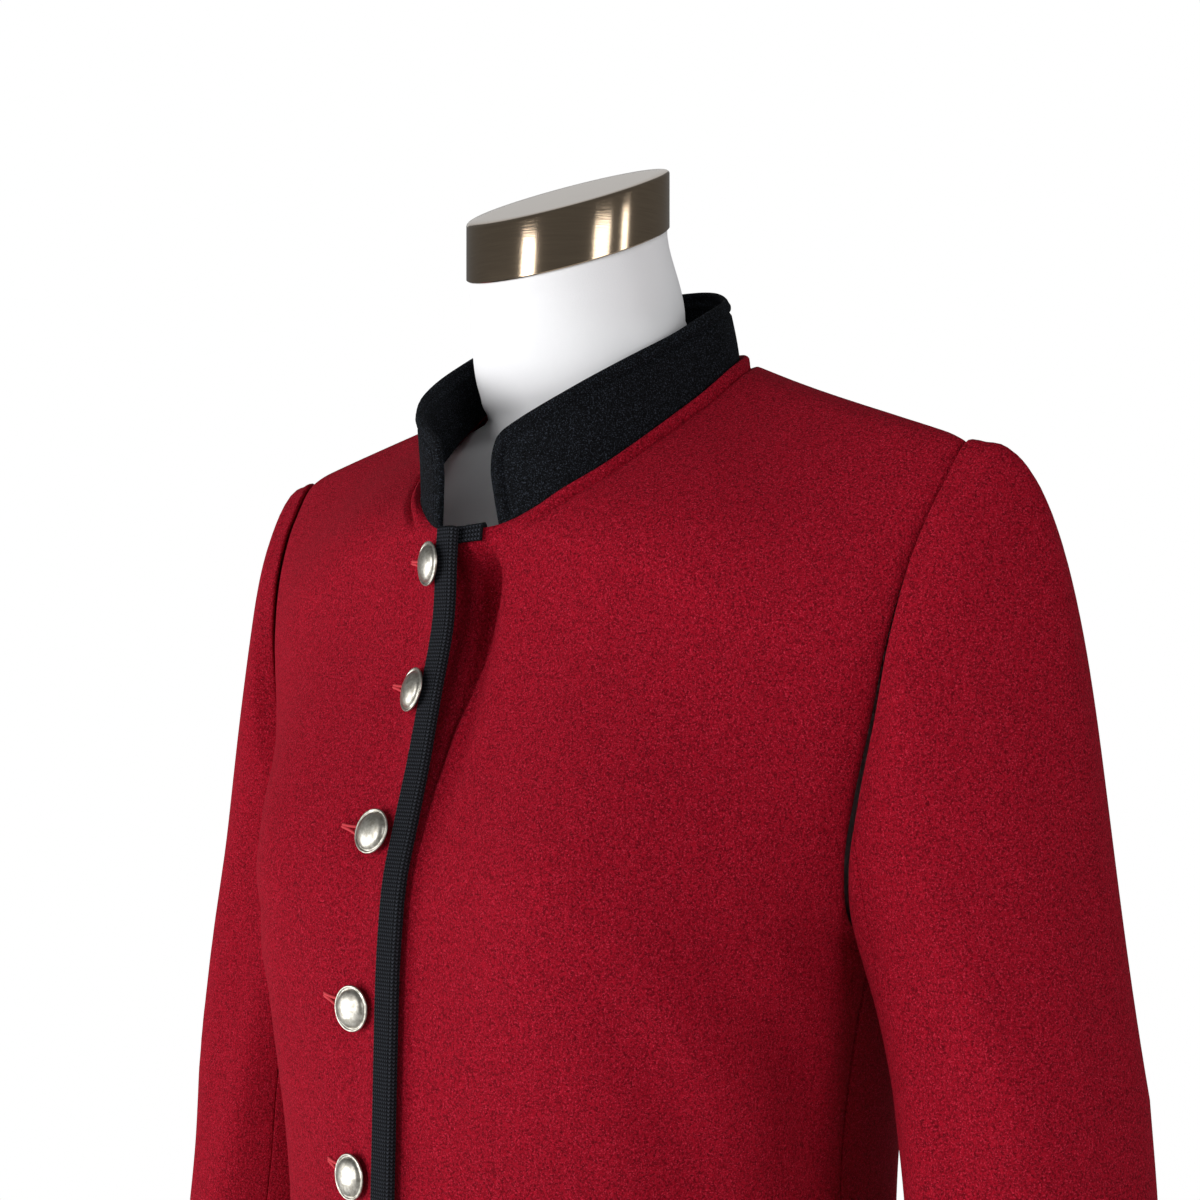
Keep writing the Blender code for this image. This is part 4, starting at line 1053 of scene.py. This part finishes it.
def knit_braid():
    """Knitted wool braid: each wale is a row of V-shaped stitches, dull and nearly black,
    with lighter fibres and a painted highlight on the raised middle of each wale and the
    crest of each stitch. The fibres are drawn 0.4 mm wide, so that they show."""
    material, tree, shader = new_material("knitted wool braid, black")
    stitch = add(tree, "ShaderNodeAttribute", attribute_name="stitch")
    place = add(tree, "ShaderNodeTexCoord").outputs["Object"]
    split = add(tree, "ShaderNodeSeparateXYZ", Vector=stitch.outputs["Vector"])
    wale = add(tree, "ShaderNodeMath", operation="FRACT", i0=split.outputs["X"])
    arm = add(tree, "ShaderNodeMath", operation="SUBTRACT", i0=wale.outputs[0], i1=0.5)
    arm = add(tree, "ShaderNodeMath", operation="ABSOLUTE", i0=arm.outputs[0])
    slant = add(tree, "ShaderNodeMath", operation="MULTIPLY_ADD", i0=arm.outputs[0], i1=-7.0, i2=0.0)
    phase = add(tree, "ShaderNodeMath", operation="MULTIPLY_ADD", i0=split.outputs["Y"],
                i1=2 * math.pi / STITCH, i2=slant.outputs[0])
    wave = add(tree, "ShaderNodeMath", operation="SINE", i0=phase.outputs[0])
    loops = add(tree, "ShaderNodeMapRange", Value=wave.outputs[0], From_Min=-1.0)
    fibres = add(tree, "ShaderNodeTexNoise", Vector=place, Scale=2400.0, Detail=3.0, Roughness=0.7)
    # painted highlight: the raised middle of each wale and the crest of each stitch loop are coloured
    # lighter, broken up by the fibres
    painted_crest_highlight = add(tree, "ShaderNodeMath", operation="MULTIPLY_ADD", i0=arm.outputs[0], i1=-1.9, i2=1.0)
    light = add(tree, "ShaderNodeMath", operation="MULTIPLY", i0=loops.outputs["Result"],
                i1=fibres.outputs["Fac"])
    light = add(tree, "ShaderNodeMath", operation="MULTIPLY", i0=light.outputs[0], i1=painted_crest_highlight.outputs[0])
    colour = add(tree, "ShaderNodeMix", data_type="RGBA", i0=light.outputs[0], i6=linear("#08090B"),
                 i7=linear("#5C606B"))
    low = add(tree, "ShaderNodeBump", Height=loops.outputs["Result"], Strength=0.8, Distance=0.0005)
    high = add(tree, "ShaderNodeBump", Height=fibres.outputs["Fac"], Normal=low.outputs["Normal"],
               Strength=0.4, Distance=0.0004)
    fit(tree, shader, Base_Color=colour.outputs[2], Normal=high.outputs["Normal"], Roughness=0.9,
        Specular_IOR_Level=0.12)
    return material


def silver():
    """Antique silver: bright in places, with a darker patina in patches of 2.4 mm."""
    material, tree, shader = new_material("antique silver")
    place = add(tree, "ShaderNodeTexCoord").outputs["Object"]
    patches = add(tree, "ShaderNodeTexNoise", Vector=place, Scale=420.0, Detail=4.0, Roughness=0.6)
    spread = add(tree, "ShaderNodeMapRange", Value=patches.outputs["Fac"], From_Min=0.38, From_Max=0.62)
    colour = add(tree, "ShaderNodeMix", data_type="RGBA", i0=spread.outputs["Result"],
                 i6=linear("#9A968C"), i7=linear("#C8C5BC"))
    rough = add(tree, "ShaderNodeMapRange", Value=patches.outputs["Fac"], To_Min=0.5, To_Max=0.26)
    bump = add(tree, "ShaderNodeBump", Height=patches.outputs["Fac"], Strength=0.25, Distance=0.0002)
    fit(tree, shader, Base_Color=colour.outputs[2], Normal=bump.outputs["Normal"],
        Roughness=rough.outputs["Result"], Metallic=1.0)
    return material


def plain(name, colour, roughness):
    """A finish of one colour, too even or too fine to show a pattern: thread, powder coat and
    the studio floor."""
    material, tree, shader = new_material(name)
    fit(tree, shader, Base_Color=linear(colour), Roughness=roughness)
    return material


def jersey():
    """Cotton jersey, stretched smooth: a knit so fine that it only breaks up the light. Its
    loops are drawn 0.7 mm wide."""
    material, tree, shader = new_material("cotton jersey, white")
    place = add(tree, "ShaderNodeTexCoord").outputs["Object"]
    knit = add(tree, "ShaderNodeTexNoise", Vector=place, Scale=1400.0, Detail=2.0, Roughness=0.5)
    bump = add(tree, "ShaderNodeBump", Height=knit.outputs["Fac"], Strength=0.25, Distance=0.0003)
    fit(tree, shader, Base_Color=linear("#FAFAFC"), Normal=bump.outputs["Normal"], Roughness=0.85)
    return material


def nickel():
    """Brushed nickel: fine lines round the cap, 0.4 mm apart, give it a warm grey sheen."""
    material, tree, shader = new_material("brushed nickel, warm grey")
    place = add(tree, "ShaderNodeTexCoord").outputs["Object"]
    stretched = add(tree, "ShaderNodeMapping", Vector=place, Scale=(60.0, 60.0, 2400.0))
    lines = add(tree, "ShaderNodeTexNoise", Vector=stretched.outputs["Vector"], Scale=1.0, Detail=3.0)
    colour = add(tree, "ShaderNodeMix", data_type="RGBA", i0=lines.outputs["Fac"], i6=linear("#94826F"),
                 i7=linear("#B4A28A"))
    bump = add(tree, "ShaderNodeBump", Height=lines.outputs["Fac"], Strength=0.12, Distance=0.0002)
    fit(tree, shader, Base_Color=colour.outputs[2], Normal=bump.outputs["Normal"], Roughness=0.13,
        Metallic=1.0)
    return material


red_wool = wool("boiled wool, red", "#6C0615", "#AA0F26", "#D32C45")
black_wool = wool("boiled wool, black", "#060708", "#121417", "#3C414B")
braid = knit_braid()
thread = plain("buttonhole thread, red", "#C8303C", 0.8)

fronts = build_fronts(red_wool)
back = build_back(red_wool)
sleeves = build_sleeves(red_wool)
collar = build_collar(black_wool)
front_braid = build_front_binding(braid)
neck_braid = build_neck_binding(braid)
buttons = build_buttons(silver())
holes = build_buttonholes(thread)
form, cap = build_form(jersey(), nickel())

# Each sleeve in turn, and whether it is an upper sleeve; the answer is not kept
for sleeve in sleeves:
    "upper" in sleeve.name

steel = plain("powder-coated steel, black", "#1E1E20", 0.45)
for name in ("pole", "base"):
    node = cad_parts[name]
    node.data.materials.clear()
    node.data.materials.append(steel)

# Floor
bpy.ops.object.select_all(action="DESELECT")
bpy.ops.mesh.primitive_plane_add(size=5.0, location=(0.0, 0.0, 0.0))
floor = bpy.context.active_object
floor.name = "floor"
floor.data.materials.append(plain("pale studio floor", "#F4F4F4", 0.9))

# Camera
eye = Vector((0.6824, -0.7581, 1.2384))
aim = Vector((0.0065, 0.0057, 1.2526))
camera_data = bpy.data.cameras.new("camera")
camera_data.lens = 65.69
camera_data.sensor_width = 36.0
camera = bpy.data.objects.new("camera", camera_data)
bpy.context.scene.collection.objects.link(camera)
camera.location = eye
camera.rotation_euler = (aim - eye).to_track_quat("-Z", "Y").to_euler()
bpy.context.scene.camera = camera


def soft_light(name, place, target, size, power):
    """A soft box of a width and height, which faces its target."""
    data = bpy.data.lights.new(name, "AREA")
    data.shape = "RECTANGLE"
    data.size, data.size_y = size
    data.energy = power
    lamp = bpy.data.objects.new(name, data)
    bpy.context.scene.collection.objects.link(lamp)
    lamp.location = place
    lamp.rotation_euler = (Vector(target) - Vector(place)).to_track_quat("-Z", "Y").to_euler()


# Tall soft boxes before the front and beside the wearer's left arm, and a card that the
# cap's top mirrors
soft_light("key", (-0.47, -2.95, 1.6), (0.0, 0.0, 1.4), (0.7, 1.8), 38.0)
soft_light("side key", (-2.1, -2.15, 0.7), (0.0, 0.0, 1.1), (1.8, 1.6), 56.0)
soft_light("fill", (2.86, -0.94, 1.85), (0.0, 0.0, 1.3), (0.95, 1.5), 24.0)
soft_light("rim", (2.95, 0.57, 1.9), (0.0, 0.0, 1.3), (0.4, 1.5), 11.0)
soft_light("card", (-2.6, 2.2, 3.3), (0.0, 0.0, 1.35), (2.0, 2.0), 6.0)
world = bpy.data.worlds.new("white studio")
bpy.context.scene.world = world
world.use_nodes = True
seen = add(world.node_tree, "ShaderNodeLightPath").outputs["Is Camera Ray"]
strength = add(world.node_tree, "ShaderNodeMapRange", Value=seen, To_Min=0.16, To_Max=1.0)
fit(world.node_tree, world.node_tree.nodes["Background"], Color=linear("#FFFFFF"),
    Strength=strength.outputs["Result"])
bpy.context.scene.view_settings.view_transform = "Standard"
